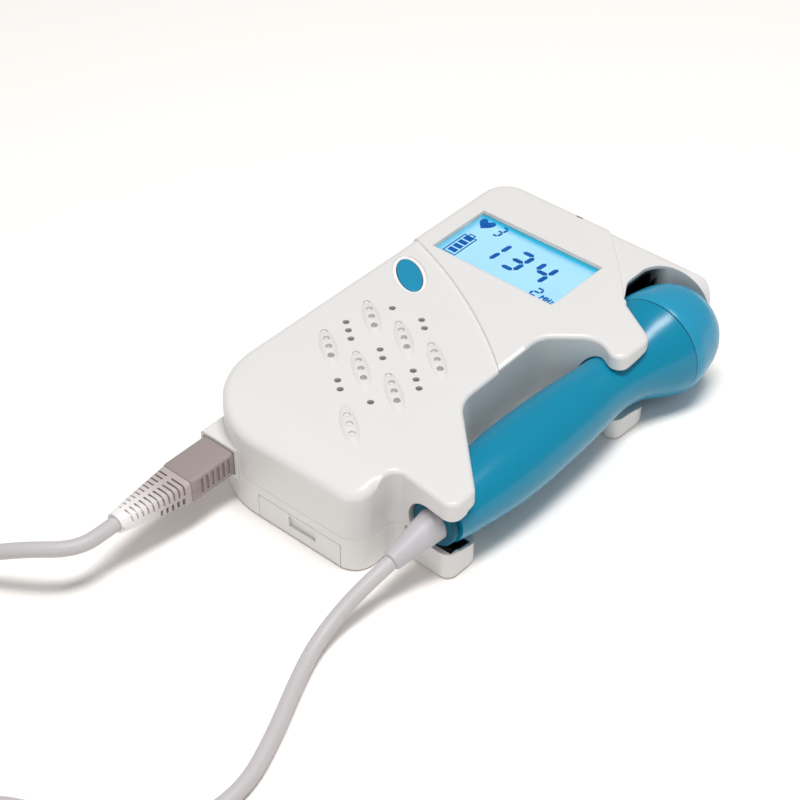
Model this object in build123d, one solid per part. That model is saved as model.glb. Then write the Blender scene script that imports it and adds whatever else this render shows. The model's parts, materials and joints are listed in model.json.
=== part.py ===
from build123d import *
import math
import os

# Fetal doppler monitor: a handheld case with a cradle down its right side, a probe that
# clips into the cradle, and the cord that joins the probe to a plug in the case's near end.
# Millimetres. Everything is modelled from the case's near left corner on the resting surface,
# with +X towards the probe, +Y towards the display end and +Z up. At the end all of it is
# moved so that the origin is under the middle of the case and probe.

# --- case ---
case_length = 135.0
side_margin = 10.7            # from the display's opening to the case's right side
case_height = 29.2            # to the top face round the loudspeaker
panel_rise = 0.8              # the display panel stands this much higher
seam_height = 11.5            # where the two shells meet
wall = 2.0
roof_thickness = 2.0
floor_thickness = 2.0
top_edge_radius = 2.8
bottom_edge_radius = 1.2
heel_corner_radius = 25.0     # near left corner, seen from above
near_corner_radius = 6.5
far_corner_radius = 9.0
crown_length = 14.0           # the top slopes down over this length at the near end
crown_radius = 30.0
seam_bevel = 0.3

# --- cradle ---
tail_arm_y = 12.2             # near face of the arm over the probe's tail, at its tip
tail_arm_root_y = 14.8
tail_arm_tip_length = 9.4
tail_arm_taper = 0.6          # its tip leans back this much over that length
arm_reach = 21.4              # how far that arm stands out past the case's side
tail_foot_inset = 2.0         # the foot below it is shorter and narrower on its near side
tail_foot_tip_length = 10.2
tail_foot_wall = 1.5          # the foot is hollow
gap_edge_radius = 1.3         # the top's edge along the arms and the finger gap
gap_edge_near_y = 10.0        # where the softer edge of the near end runs out
gap_edge_far_reach = 5.0      # and past the pocket's corner, that of the far end
gap_inset = 4.6               # the finger gap cuts this far into the case's side
gap_near_y = 46.0
gap_from_far = 54.5           # lengths named so are measured from the case's far end
neck_arm_root_from_far = 44.3
neck_arm_near_from_far = 50.4
neck_arm_far_from_far = 35.4
neck_arm_root_reach = 7.4     # past the case's side, as the next four are
neck_arm_near_reach = 18.3
neck_arm_far_reach = 18.8
pocket_corner_reach = 2.8     # where the far arm meets the pocket for the probe's head
pocket_wall_reach = 17.8
pocket_from_far = 26.0
pocket_inset = 1.8
pocket_round = 7.0
pocket_wall = 3.8             # the wall round the far side of the head
pocket_wall_round = 11.0      # the end of that wall, seen from the far side
niche_depth = 4.0             # the niche in the pocket's left side
niche_length = 12.0
niche_from_far = 7.5
foot_height = 9.0             # the two arms under the probe
arm_tip_radius = 3.2
probe_clearance = 0.35
head_clearance = 0.6

# --- probe ---
probe_reach = 12.2            # the probe's axis, past the case's side
probe_z = 16.2
head_radius = 15.8
seam_radius = 15.4            # where the cap meets the handle
probe_tail_y = 15.4
tail_groove_y = 18.6
seam_from_far = 24.0
end_clearance = 2.6           # between the probe's front and the pocket's far wall
neck_from_far = 45.0
neck_radius = 8.6
grip_y = 51.0
grip_radius = 10.6
shaft_radius = 10.2           # on both sides of the grip's widest place
waist_radius = 9.4
flare_radius = 10.7           # where the neck opens towards the head
bell_radius = 13.7
flare_to_seam = 11.0
bell_to_seam = 4.5
cap_widest = 2.2              # stations of the cap, from its near edge
cap_mid = 6.15
cap_fall = 10.25
cap_shoulder = 13.95
cap_rim = 16.35
cap_mid_radius = 15.4
cap_fall_radius = 14.6
cap_shoulder_radius = 13.3
cap_rim_radius = 11.8
collar_radius = 6.8
groove_radius = 6.0
tail_radius = 7.7
handle_wall = 1.8
seam_gap = 0.25               # the fine line round the head
cap_skirt = 3.0               # the cap's skirt inside the handle
skirt_radius = 12.0
face_radius = 10.4            # the acoustic face and the bore behind it
seal_height = 0.8
collar_stub_radius = 4.0
glue_gap = 0.04
rib_thickness = 1.4
near_rib_y = 44.0
near_rib_radius = 9.6
far_rib_y = 66.0
far_rib_radius = 9.3
probe_board_y = 34.0
probe_board_length = 38.0
probe_board_width = 12.0
probe_board_drop = 2.0        # its middle plane, below the probe's axis
probe_travel = 35.0

# --- cord ---
cord_diameter = 4.2
cord_lift = 0.05              # the cord's underside over the resting surface
sleeve_radius = 4.6
sleeve_end_radius = 2.7
sleeve_lean = 1.7             # the sleeve's end lies this far left of the probe's axis
sleeve_end_y = 1.2
sleeve_end_z = 12.3
coil_centre = (9.0, -118.0)
coil_mid_radius = 23.5
coil_width = 12.6             # three turns side by side
coil_height = 7.9             # and two turns high
tie_width = 7.0
tie_thickness = 0.8

# --- plug and socket ---
plug_x = 12.45
plug_width = 11.1
plug_low_z = 10.3
plug_height = 7.7
plug_length = 15.5            # outside the case
plug_insertion = 6.0
plug_clearance = 0.15
boot_length = 21.5
boot_tip_radius = 2.9
boot_cord_z = 15.3
boot_cord_x = 12.2
cord_play = 0.09              # between the cord and the boot's bore
boss_rim = 1.1
boss_depth = 14.0
socket_length = 7.5
pin_count = 5
pin_pitch = 2.0
pin_radius = 0.42
pin_reach = 4.0
contact_radius = 0.8
contact_play = 0.06

# --- display ---
window_x = 7.6
window_from_far = 41.5
window_width = 43.7
window_height = 23.5
window_recess = 1.3
lens_thickness = 1.2
lens_margin = 1.4
fit_gap = 0.15
glass_thickness = 1.6
backlight_thickness = 2.2
bracket_wall = 1.2

# --- power button ---
button_x = 11.1
button_from_middle = 1.75     # past the middle between the grille and the display
button_long = 7.9             # half lengths of the oval
button_short = 3.4
oval_angle = -37.5            # the oval and the grille's rows lie at this angle
button_play = 0.2
button_flange = 0.8
button_travel = 0.5
button_proud = 0.1
plunger_radius = 1.7
button_dish = 1.3             # a shallow dish surrounds the button
button_dish_depth = 0.25

# --- loudspeaker and grille ---
speaker_x = 28.5
speaker_y = 41.0
speaker_radius = 18.0
speaker_depth = 8.0
magnet_radius = 9.5
hole_radius = 0.95
hole_pitch = 3.8
leaf_length = 17.5            # long low swellings, pointed at both ends
leaf_width = 4.8
leaf_rise = 1.0
leaf_offset = 1.7             # from the middle of its dents to the swelling's middle
leaf_dents = (0.6, 0.9, 1.25, 1.7)    # depths of the blind dents in each swelling
last_leaf_dent = 0.5
grille_column = (13.0, -1.3)
grille_row = (0.0, -17.6)
grille_start = (10.7, 61.2)
leaf_column_count = 3         # swellings side by side
leaf_row_count = 2            # and one more follows in the last column
# groups of holes between the swellings: where each starts, and its number of holes
plain_starts = [
    (17.8, 64.0), (27.5, 65.3), (12.3, 50.8), (27.5, 47.9), (40.3, 46.9), (27.7, 30.6), (40.4, 29.6),
]
plain_counts = [1, 2, 3, 2, 3, 2, 1]

# --- battery bay: two AA cells side by side ---
cell_diameter = 14.5
cell_length = 50.5
cell_pitch = 14.6
cell_nub_radius = 2.6
cell_nub_length = 1.0
spring_length = 3.0
contact_thickness = 0.4
bay_near_y = 3.4
bay_inset = 6.1               # from the case's right side
cell_floor_gap = 0.3
bay_wall = 1.2
door_thickness = 1.8
door_tab_height = 8.2
door_gap = 0.15
door_tongue = 2.0
door_travel = 62.0
latch_width = 9.6
latch_low_z = 3.6
latch_height = 3.8
latch_depth = 0.9

# --- board and fasteners ---
board_thickness = 1.6
board_top_z = 22.0
board_clearance = 3.1         # between the battery bay and the board
board_margin = 1.5
screw_shank_radius = 1.2
screw_head_radius = 2.5
screw_head_height = 1.8
screw_post_radius = 3.2
counterbore_depth = 6.0
speaker_screw_angles = (80, 205, 335)
small_screw_radius = 1.0
small_head_radius = 2.0
small_head_height = 1.3
small_post_radius = 2.4

# --- lamp lens in the top, near the far edge ---
lamp_x = 31.0
lamp_from_far = 1.7
lamp_length = 2.4
lamp_width = 1.1
lamp_depth = 2.0
lamp_play = 0.05

# values that follow from those above
case_width = window_x + window_width + side_margin    # the grip part, beside the cradle
gap_wall_x = case_width - gap_inset
gap_far_y = case_length - gap_from_far
neck_arm_root_y = case_length - neck_arm_root_from_far
neck_arm_near_y = case_length - neck_arm_near_from_far
neck_arm_far_y = case_length - neck_arm_far_from_far
pocket_corner_x = case_width + pocket_corner_reach
pocket_corner_y = case_length - pocket_from_far
pocket_x = case_width - pocket_inset
pocket_wall_end_x = case_width + pocket_wall_reach
probe_x = case_width + probe_reach
probe_seam_y = case_length - seam_from_far
probe_end_y = case_length - pocket_wall - end_clearance
neck_y = case_length - neck_from_far
sleeve_end = (probe_x - sleeve_lean, sleeve_end_y, sleeve_end_z)
window_y = case_length - window_from_far
button_y = (grille_start[1] + window_y) / 2 + button_from_middle
lamp_y = case_length - lamp_from_far
bay_right_x = case_width - bay_inset
origin_x = (probe_x + head_radius) / 2
origin_y = case_length / 2
panel_height = case_height + panel_rise
roof_z = case_height - roof_thickness
pocket_far_y = case_length - pocket_wall
window_base_z = panel_height - window_recess - lens_thickness
glass_top_z = window_base_z - fit_gap
backlight_top_z = glass_top_z - glass_thickness - 0.1
board_base_z = board_top_z - board_thickness
cell_z = door_thickness + cell_floor_gap + cell_diameter / 2
cell_right_x = bay_right_x - cell_diameter / 2
cell_left_x = cell_right_x - cell_pitch
bay_left_x = cell_left_x - cell_diameter / 2
bay_far_y = bay_near_y + contact_thickness * 2 + spring_length + cell_length
bay_top_z = cell_z + cell_diameter / 2 + cell_floor_gap
board_near_y = bay_far_y + bay_wall + board_clearance
plug_left_x = plug_x - plug_width / 2
plug_right_x = plug_x + plug_width / 2
plug_top_z = plug_low_z + plug_height
plug_mid_z = plug_low_z + plug_height / 2
boot_end_y = -plug_length - boot_length
socket_near_y = plug_insertion + 0.2
cord_radius = cord_diameter / 2
cord_z = cord_radius + cord_lift
inner_right_x = case_width - wall
inner_gap_x = gap_wall_x - wall + 0.4
case_screw_points = [
    (10.0, 22.5),
    (case_width - 0.8, 22.5),
    (7.0, case_length - 8.0),
    (case_width - 11.4, case_length - 7.6),
]
board_screw_points = [
    (21.0, case_length - 8.0),
    (38.0, case_length - 8.0),
    (22.0, board_near_y + 5.0),
    (inner_gap_x - 6.8, board_near_y + 5.0),
]


def block(x0, x1, y0, y1, z0, z1):
    return Pos((x0 + x1) / 2, (y0 + y1) / 2, (z0 + z1) / 2) * Box(x1 - x0, y1 - y0, z1 - z0)


def post(x, y, z0, z1, radius):
    return Pos(x, y, (z0 + z1) / 2) * Cylinder(radius, z1 - z0)


def rounded_polygon(corners):
    """A face through corners given as (x, y, radius)."""
    face = make_face(Polyline([(x, y) for x, y, _ in corners], close=True))
    for x, y, radius in corners:
        if radius > 0:
            nearest = face.vertices().sort_by(lambda v: (v.X - x) ** 2 + (v.Y - y) ** 2)[0]
            face = fillet(nearest, radius)
    return face


def slant(distance):
    """A step along the direction that the oval and the grille's rows share."""
    angle = math.radians(oval_angle)
    return distance * math.cos(angle), distance * math.sin(angle)


# ---------------------------------------------------------------- case outline

def outer_corners():
    """The case from above, without the arms and the finger gap: those lie on its right."""
    beyond = case_width * 2
    return [
        (0, 0, heel_corner_radius),
        (case_width, 0, near_corner_radius),
        (case_width, gap_edge_near_y, 3.0),
        (beyond, gap_edge_near_y, 0),
        (beyond, pocket_corner_y - gap_edge_far_reach, 0),
        (pocket_wall_end_x, pocket_corner_y - gap_edge_far_reach, 3.0),
        (pocket_wall_end_x, case_length, 6.0),
        (0, case_length, far_corner_radius),
    ]


def arm_corners(foot):
    """The right side from above: tail arm, finger gap and neck arm, up to the pocket."""
    inset = tail_foot_inset if foot else 0
    taper = 0 if foot else tail_arm_taper
    length = tail_foot_tip_length if foot else tail_arm_tip_length
    tip_x = case_width + arm_reach - 1.3 * inset
    return [
        (case_width, tail_arm_root_y, 3.0),
        (tip_x, tail_arm_y + inset, arm_tip_radius),
        (tip_x - taper, tail_arm_y + inset + length, arm_tip_radius),
        (gap_wall_x + 0.6, gap_near_y, 12.0),
        (gap_wall_x, gap_far_y, 8.0),
        (case_width + neck_arm_root_reach, neck_arm_root_y, 7.0),
        (case_width + neck_arm_near_reach, neck_arm_near_y, arm_tip_radius),
        (case_width + neck_arm_far_reach, neck_arm_far_y, 4.5),
        (pocket_corner_x, pocket_corner_y, 0.6),
    ]


def crown_cutter(height):
    """What the sloping near end takes off a case of this height."""
    half = math.asin(crown_length / crown_radius) / 2
    start = (crown_length, height)
    middle = (
        crown_length - crown_radius * math.sin(half),
        height - crown_radius * (1 - math.cos(half)),
    )
    end = (0, height - crown_radius * (1 - math.cos(2 * half)))
    beyond = (-2, end[1] - 2 * math.tan(2 * half))
    edges = [
        ThreePointArc(start, middle, end),
        Line(end, beyond),
        Line(beyond, (-2, height + 5)),
        Line((-2, height + 5), (crown_length, height + 5)),
        Line((crown_length, height + 5), start),
    ]
    return extrude(Plane.YZ * make_face(edges), case_width * 2, both=True)


def rim_edges(solid, lowest):
    """The edges round the top face: not the upright ones, nor the line where the crown starts."""
    rim = []
    for edge in solid.edges():
        middle = edge.center()
        along = edge.tangent_at(0.5)
        crown_start = abs(middle.Y - crown_length) < 0.01 and abs(along.X) > 0.99
        if middle.Z > lowest and abs(along.Z) < 0.99 and not crown_start:
            rim.append(edge)
    return rim


def case_block(height):
    """The outer form of the case: soft round its outside, crisper round the finger gap."""
    soft = extrude(rounded_polygon(outer_corners()), height) - crown_cutter(height)
    soft = fillet(rim_edges(soft, height * 0.7), top_edge_radius)
    far = case_width * 2
    around = [(far, pocket_corner_y, 0), (far, case_length * 1.2, 0), (-case_width, case_length * 1.2, 0)]
    around += [(-case_width, -case_width, 0), (case_width, -case_width, 0)]
    crisp = extrude(rounded_polygon(arm_corners(False) + around), height)
    crisp = fillet(rim_edges(crisp, height * 0.7), gap_edge_radius)
    return soft & crisp


def feet_block():
    """The bottom shell's outer form, with the two feet under the arms."""
    corners = [(0, 0, heel_corner_radius), (case_width, 0, near_corner_radius)]
    corners += arm_corners(True)
    corners += [
        (pocket_wall_end_x, pocket_corner_y, 4.0),
        (pocket_wall_end_x, case_length, 6.0),
        (0, case_length, far_corner_radius),
    ]
    solid = extrude(rounded_polygon(corners), seam_height)
    rim = [edge for edge in solid.edges() if edge.center().Z < 0.01]
    return fillet(rim, bottom_edge_radius)


def panel_region():
    """The part of the plan where the display panel stands proud."""
    left_start = (-3, window_y + 1.1)
    left_middle = (window_x + window_width * 0.43, window_y - 10.9)
    left_end = (gap_wall_x + 1, window_y - 32.1)
    right_start = (pocket_corner_x, pocket_corner_y)
    right_middle = (case_width - 7.1, pocket_corner_y + 11.4)
    right_end = (case_width - 25.6, case_length + 3)
    far_right = case_width * 2
    edges = [
        ThreePointArc(left_start, left_middle, left_end),
        Line(left_end, (far_right, left_end[1])),
        Line((far_right, left_end[1]), (far_right, pocket_corner_y)),
        Line((far_right, pocket_corner_y), right_start),
        ThreePointArc(right_start, right_middle, right_end),
        Line(right_end, (-3, case_length + 3)),
        Line((-3, case_length + 3), left_start),
    ]
    return extrude(make_face(edges), panel_height + 5)


def pocket_cutter():
    """The space for the probe's head, open above, below and to the right."""
    far = case_width * 2
    return Pos(0, 0, -1) * extrude(rounded_polygon([
        (pocket_corner_x + 1.4, pocket_corner_y - 0.6, 0),
        (pocket_corner_x - 0.2, pocket_corner_y + 0.3, 0),
        (pocket_x, pocket_corner_y + 8.0, 6.0),
        (pocket_x, pocket_far_y, pocket_round),
        (far, pocket_far_y, 0),
        (far, pocket_corner_y - 0.6, 0),
    ]), panel_height + 5)


def niche_cutter():
    """A deep niche in the pocket's left side, closed above and below."""
    far = case_length - niche_from_far
    left = pocket_x - niche_depth
    return block(left, pocket_x + 1.0, far - niche_length, far, floor_thickness, roof_z - 0.2)


def tail_foot_cutter():
    """The hollow of the foot under the tail arm."""
    right = case_width + arm_reach - 1.3 * tail_foot_inset - tail_foot_wall
    near = tail_arm_root_y + tail_foot_wall
    far = tail_arm_y + tail_foot_inset + tail_foot_tip_length - tail_foot_wall
    return block(case_width + 4.0, right, near, far, floor_thickness, seam_height + 1)


def wall_end_cutter():
    """Rounds the end of the wall behind the head, seen from the far side."""
    low = case_height - pocket_wall_round
    corner_x = pocket_wall_end_x - pocket_wall_round
    corner = block(corner_x, pocket_wall_end_x + 5, pocket_far_y - 1, case_length + 1, low, case_height + 5)
    round_end = Pos(corner_x, pocket_far_y, low) * Rot(90, 0, 0) * Cylinder(pocket_wall_round, case_length)
    return corner - round_end


# ---------------------------------------------------------------- probe profile

def handle_points(extra=0.0):
    """Radius stations of the handle, from the collar's groove to the head's seam."""
    third = (neck_y - grip_y) / 3
    return [
        (tail_groove_y, tail_radius - 0.3 + extra),
        (tail_groove_y + 1.4, tail_radius + extra),
        (29.0, 9.1 + extra),
        (39.0, shaft_radius + extra),
        (grip_y, grip_radius + extra),
        (grip_y + third, shaft_radius + extra),
        (grip_y + 2 * third, waist_radius + extra),
        (neck_y, neck_radius + extra),
        (probe_seam_y - flare_to_seam, flare_radius + extra),
        (probe_seam_y - bell_to_seam, bell_radius + extra),
        (probe_seam_y, seam_radius + extra),
    ]


def turned(edges):
    """A solid turned about the probe's axis from a profile in (y, radius)."""
    face = make_face(edges)
    solid = revolve(face, Axis.X, 360)
    return Pos(probe_x, 0, probe_z) * Rot(0, 0, 90) * solid


def profile_edges(points, y_start, y_end):
    """Closes a spline through (y, radius) points down to the axis."""
    spline = Spline(*points)
    return [
        Line((y_start, 0), (y_start, points[0][1])),
        Line((y_start, points[0][1]), points[0]) if y_start != points[0][0] else None,
        spline,
        Line(points[-1], (y_end, points[-1][1])) if y_end != points[-1][0] else None,
        Line((y_end, points[-1][1]), (y_end, 0)),
        Line((y_end, 0), (y_start, 0)),
    ]


def closed_profile(edges):
    return [edge for edge in edges if edge is not None]


def probe_space():
    """What the probe needs, where it lies and all the way out to the right."""
    reach = case_width
    collar_space = collar_radius + probe_clearance
    outline = [(probe_tail_y - 40, collar_space), (tail_groove_y - 0.4, collar_space)]
    handle = handle_points(probe_clearance)
    handle[-2] = (handle[-2][0], handle[-2][1] + head_clearance - probe_clearance)
    handle[-1] = (handle[-1][0], handle[-1][1] + head_clearance)
    head = [
        (probe_seam_y + 4, head_radius + head_clearance),
        (probe_end_y + head_clearance, head_radius + head_clearance - 1.4),
    ]
    first = (tail_groove_y - 0.4, handle[0][1])
    edges = [Line((outline[0][0], 0), outline[0])]
    edges += [Line(a, b) for a, b in zip(outline, outline[1:])]
    edges += [
        Line(outline[-1], first),
        Line(first, handle[0]),
        Spline(*handle),
        Line(handle[-1], head[0]),
        Line(head[0], head[1]),
        Line(head[1], (head[1][0], 0)),
        Line((head[1][0], 0), (outline[0][0], 0)),
    ]
    half = make_face(edges)
    around = Pos(probe_x, 0, probe_z) * Rot(0, 0, 90) * revolve(half, Axis.X, 360)
    side = half + mirror(half, Plane.XZ)
    way_out = Pos(probe_x, 0, probe_z) * (Plane.YZ * extrude(side, reach))
    return around, way_out


# ---------------------------------------------------------------- shells

def inner_void(height):
    """The hollow of the case, from below the floor level up to the roof."""
    plan = rounded_polygon([
        (wall, wall, heel_corner_radius - wall),
        (inner_right_x, wall, near_corner_radius - wall),
        (inner_right_x, gap_near_y - 3.6, 3.0),
        (inner_gap_x, gap_near_y + 4.4, 3.0),
        (inner_gap_x, pocket_corner_y - 12.0, 3.0),
        (inner_gap_x - 1.2, pocket_corner_y - 5.0, 3.0),
        (inner_gap_x - 1.2, case_length - wall, 3.0),
        (wall, case_length - wall, far_corner_radius - wall),
    ])
    return extrude(plan, height) - crown_cutter(height)


def boss_block():
    """The block that squares off the rounded heel round the socket."""
    solid = block(
        plug_left_x - boss_rim, plug_right_x + boss_rim, 0, boss_depth,
        plug_low_z - boss_rim, plug_top_z + boss_rim,
    )
    front = solid.edges().filter_by(Axis.Y).sort_by(Axis.X)[:2]
    return fillet(front, 0.9)


def socket_space():
    mouth = block(
        plug_left_x - plug_clearance, plug_right_x + plug_clearance, -1, socket_near_y,
        plug_low_z - plug_clearance, plug_top_z + plug_clearance,
    )
    seat = block(
        plug_left_x, plug_right_x, socket_near_y, socket_near_y + socket_length,
        plug_low_z, plug_top_z,
    )
    wires = block(
        plug_left_x + 0.8, plug_right_x - 0.8, socket_near_y + socket_length - 1, boss_depth + 1,
        plug_low_z + 1.5, plug_top_z - 1.5,
    )
    return mouth + seat + wires


def leaf_ridge(distance):
    """Height of a swelling's ridge over the top, this far from its middle."""
    half = leaf_length / 2
    arc = (half ** 2 + leaf_rise ** 2) / (2 * leaf_rise)
    return math.sqrt(arc ** 2 - distance ** 2) - arc + leaf_rise


def leaf_swelling(x, y):
    """Part of a spindle turned about a line below the top; its ends dip under the top."""
    radius = (leaf_width ** 2 / 4 + leaf_rise ** 2) / (2 * leaf_rise)
    sink = radius - leaf_rise
    end = leaf_length / 2 + 1.0
    low = sink + leaf_ridge(end)
    spindle = revolve(make_face([
        ThreePointArc((-end, low), (0, radius), (end, low)),
        Line((end, low), (end, 0)),
        Line((end, 0), (-end, 0)),
        Line((-end, 0), (-end, low)),
    ]), Axis.X, 360)
    kept = spindle & block(-end - 1, end + 1, -leaf_width, leaf_width, sink - 0.8, radius + 1)
    return Pos(x, y, case_height - sink) * Rot(0, 0, oval_angle) * kept


def grille_leaves():
    """Middles of the swellings, and where each dent lies and how high its floor is."""
    middles = []
    dents = []
    count = len(leaf_dents)
    places = [(column, row, 0) for row in range(leaf_row_count) for column in range(leaf_column_count)]
    places.append((leaf_column_count - 1, leaf_row_count, 1))   # without its first dent
    for column, row, first in places:
        x = grille_start[0] + grille_column[0] * column + grille_row[0] * row
        y = grille_start[1] + grille_column[1] * column + grille_row[1] * row
        middle = hole_pitch * (count - 1) / 2 + leaf_offset
        step = slant(middle)
        middles.append((x + step[0], y + step[1]))
        for index in range(first, count):
            step = slant(hole_pitch * index)
            depth = last_leaf_dent if row == leaf_row_count else leaf_dents[index]
            floor = case_height + leaf_ridge(hole_pitch * index - middle) - depth
            dents.append((x + step[0], y + step[1], floor))
    return middles, dents


def grille_holes():
    """Centres of the holes that go through."""
    holes = []
    for (x, y), count in zip(plain_starts, plain_counts):
        for index in range(count):
            step = slant(hole_pitch * index)
            holes.append((x + step[0], y + step[1]))
    return holes


def oval(long, short, z0, z1):
    return Pos(button_x, button_y, z0) * Rot(0, 0, oval_angle) * extrude(Ellipse(long, short), z1 - z0)


def lamp_slot(play):
    """The small upright slot near the far edge, less a play all round."""
    slot = SlotOverall(lamp_length - 2 * play, lamp_width - 2 * play)
    return Pos(lamp_x, lamp_y, panel_height - lamp_depth + play) * extrude(slot, lamp_depth + 2)


def make_top_shell(around, way_out):
    low = case_block(case_height)
    high = case_block(panel_height)
    region = panel_region()
    shell = (low - region) + (high & region)
    shell -= pocket_cutter()
    shell -= niche_cutter()
    shell -= wall_end_cutter()
    shell -= block(-5, case_width * 2, -5, case_length + 5, -5, seam_height)
    shell -= inner_void(roof_z)
    boss = boss_block() - block(-5, case_width, -5, case_length, -5, seam_height)
    shell += boss
    for x, y in case_screw_points:
        shell += post(x, y, seam_height, roof_z + 0.5, screw_post_radius)
    for x, y in board_screw_points:
        shell += post(x, y, board_top_z, roof_z + 0.5, small_post_radius)
    for x, y in speaker_posts():
        shell += post(x, y, roof_z - 2.0, roof_z + 0.5, small_post_radius)
    shell -= socket_space()
    shell -= around
    shell -= way_out
    shell -= block(
        window_x, window_x + window_width, window_y, window_y + window_height, roof_z - 1, panel_height + 1,
    )
    shell -= lens_seat()
    shell -= oval(button_long + button_play, button_short + button_play, roof_z - 1, case_height + 1)
    dish_z = case_height - button_dish_depth
    shell -= oval(button_long + button_dish, button_short + button_dish, dish_z, case_height + 1)
    middles, dents = grille_leaves()
    for x, y in middles:
        shell += leaf_swelling(x, y)
    for x, y, floor in dents:
        shell -= post(x, y, floor, case_height + leaf_rise + 1, hole_radius)
    for x, y in grille_holes():
        shell -= post(x, y, roof_z - 1, case_height + 1, hole_radius)
    for x, y in case_screw_points:
        shell -= post(x, y, seam_height - 1, seam_height + 9, screw_shank_radius)
    for x, y in board_screw_points:
        shell -= post(x, y, board_top_z - 1, board_top_z + 4, small_screw_radius)
    for x, y in speaker_posts():
        shell -= post(x, y, roof_z - 3, roof_z - 0.2, small_screw_radius)
    shell -= lamp_slot(0)
    return shell


def foot_cutter():
    """Takes the cradle's lower arms down to their height."""
    return block(case_width + 3.5, case_width * 2, -5, pocket_corner_y + 5, foot_height, seam_height + 5)


def make_bottom_shell(around, way_out):
    shell = feet_block()
    shell -= pocket_cutter()
    shell -= niche_cutter()
    cavity = inner_void(case_height) - block(-5, case_width * 2, -5, case_length + 5, -5, floor_thickness)
    shell -= cavity
    shell += boss_block() & block(-5, case_width, -5, case_length, -5, seam_height)
    shell += bay_tray()
    for x, y in case_screw_points:
        shell += post(x, y, floor_thickness - 0.5, seam_height, screw_post_radius)
    shell -= socket_space()
    shell -= around
    shell -= way_out
    shell -= foot_cutter()
    shell -= tail_foot_cutter()
    shell -= bay_space()
    shell -= door_space()
    for x, y in case_screw_points:
        shell -= post(x, y, -1, counterbore_depth, screw_head_radius + 0.3)
        shell -= post(x, y, counterbore_depth - 1, seam_height + 1, screw_shank_radius + 0.3)
    return shell


# ---------------------------------------------------------------- battery bay

def bay_tray():
    """Walls and roof round the cells, standing up from the bottom shell's floor."""
    top = bay_top_z + bay_wall
    right = bay_right_x + 0.4
    low = block(bay_left_x - bay_wall, right, wall - 0.5, bay_far_y + bay_wall, 1.0, seam_height)
    high = block(bay_left_x - bay_wall, right - 0.6, bay_near_y - bay_wall, bay_far_y + bay_wall,
                 seam_height - 0.5, top)
    return low + high


def bay_space():
    return block(bay_left_x, bay_right_x, bay_near_y, bay_far_y, -1, bay_top_z)


def door_space():
    """The opening in the floor and near face that the door fills, and the slot for its tongue."""
    left = bay_left_x - door_gap
    right = bay_right_x + door_gap
    plate = block(left, right, -1, bay_far_y, -1, door_thickness + door_gap)
    tab = block(left, right, -1, door_thickness + door_gap, -1, door_tab_height + door_gap)
    slot = block(
        left + 3, right - 3, bay_far_y - 1, bay_far_y + door_tongue + door_gap,
        floor_thickness / 2 - 0.1, floor_thickness + 0.2,
    )
    return plate + tab + slot


def make_battery_door():
    left = bay_left_x
    right = bay_right_x
    plate = block(left, right, 0, bay_far_y - door_gap, 0, door_thickness)
    tab = block(left, right, 0, door_thickness, 0, door_tab_height)
    tongue = block(
        left + 3.3, right - 3.3, bay_far_y - 1, bay_far_y + door_tongue,
        floor_thickness / 2, door_thickness,
    )
    door = plate + tab + tongue
    edge = door.edges().filter_by(Axis.X).group_by(Axis.Z)[0].sort_by(Axis.Y)[0]
    door = fillet(edge, bottom_edge_radius)
    middle = (left + right) / 2 + 1.0
    door -= block(
        middle - latch_width / 2, middle + latch_width / 2, -1, latch_depth,
        latch_low_z, latch_low_z + latch_height,
    )
    return door


def make_cells():
    """Two AA cells, the left one with its positive end far and the right one near."""
    cells = []
    near = bay_near_y + contact_thickness
    for x, flip in ((cell_left_x, False), (cell_right_x, True)):
        start = near if flip else near + spring_length
        body_start = start + (cell_nub_length if flip else 0)
        body = Pos(x, body_start, cell_z) * Rot(-90, 0, 0) * extrude(
            Circle(cell_diameter / 2), cell_length - cell_nub_length)
        body = fillet(body.edges().filter_by(GeomType.CIRCLE), 0.5)
        nub_start = start if flip else start + cell_length - cell_nub_length - 0.2
        nub = extrude(Circle(cell_nub_radius), cell_nub_length + 0.2)
        nub = Pos(x, nub_start, cell_z) * Rot(-90, 0, 0) * nub
        cells.append(body + nub)
    return Compound(children=[solid_of(cell) for cell in cells])


def solid_of(shape):
    return shape.solids()[0]


def cell_spring(x, y):
    """A closed-end conical battery spring as a wound wire."""
    wire_radius = 0.3
    turns = 3
    path = Helix(pitch=(spring_length - 2 * wire_radius - 0.2) / turns,
                 height=spring_length - 2 * wire_radius - 0.2, radius=3.6, cone_angle=14)
    section = Plane(path @ 0, z_dir=path % 0) * Circle(wire_radius)
    wound = sweep(section, path=path)
    return Pos(x, y, cell_z) * Rot(-90, 0, 0) * Pos(0, 0, wire_radius + 0.1) * wound


def make_battery_springs():
    near = bay_near_y + contact_thickness
    first = cell_spring(cell_left_x, near)
    far = bay_far_y - contact_thickness
    second = Pos(cell_right_x, far, 0) * Rot(0, 0, 180) * cell_spring(0, 0)
    return Compound(children=[solid_of(first), solid_of(second)])


def make_battery_contacts():
    """The bridge at the near end and one plate per cell at the far end."""
    half = cell_diameter / 2 - 1.2
    low = cell_z - 5.5
    high = cell_z + 5.5
    near = bay_near_y
    bridge = block(cell_left_x - half, cell_right_x + half, near, near + contact_thickness, low, high)
    plates = [
        block(x - half, x + half, bay_far_y - contact_thickness, bay_far_y, low, high)
        for x in (cell_left_x, cell_right_x)
    ]
    return Compound(children=[solid_of(p) for p in [bridge] + plates])


# ---------------------------------------------------------------- display

def lens_seat():
    return block(
        window_x - lens_margin, window_x + window_width + lens_margin,
        window_y - lens_margin, window_y + window_height + lens_margin,
        roof_z - 1, panel_height - window_recess,
    )


def display_block(margin, z0, z1):
    return block(
        window_x - margin, window_x + window_width + margin,
        window_y - margin, window_y + window_height + margin, z0, z1,
    )


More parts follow.
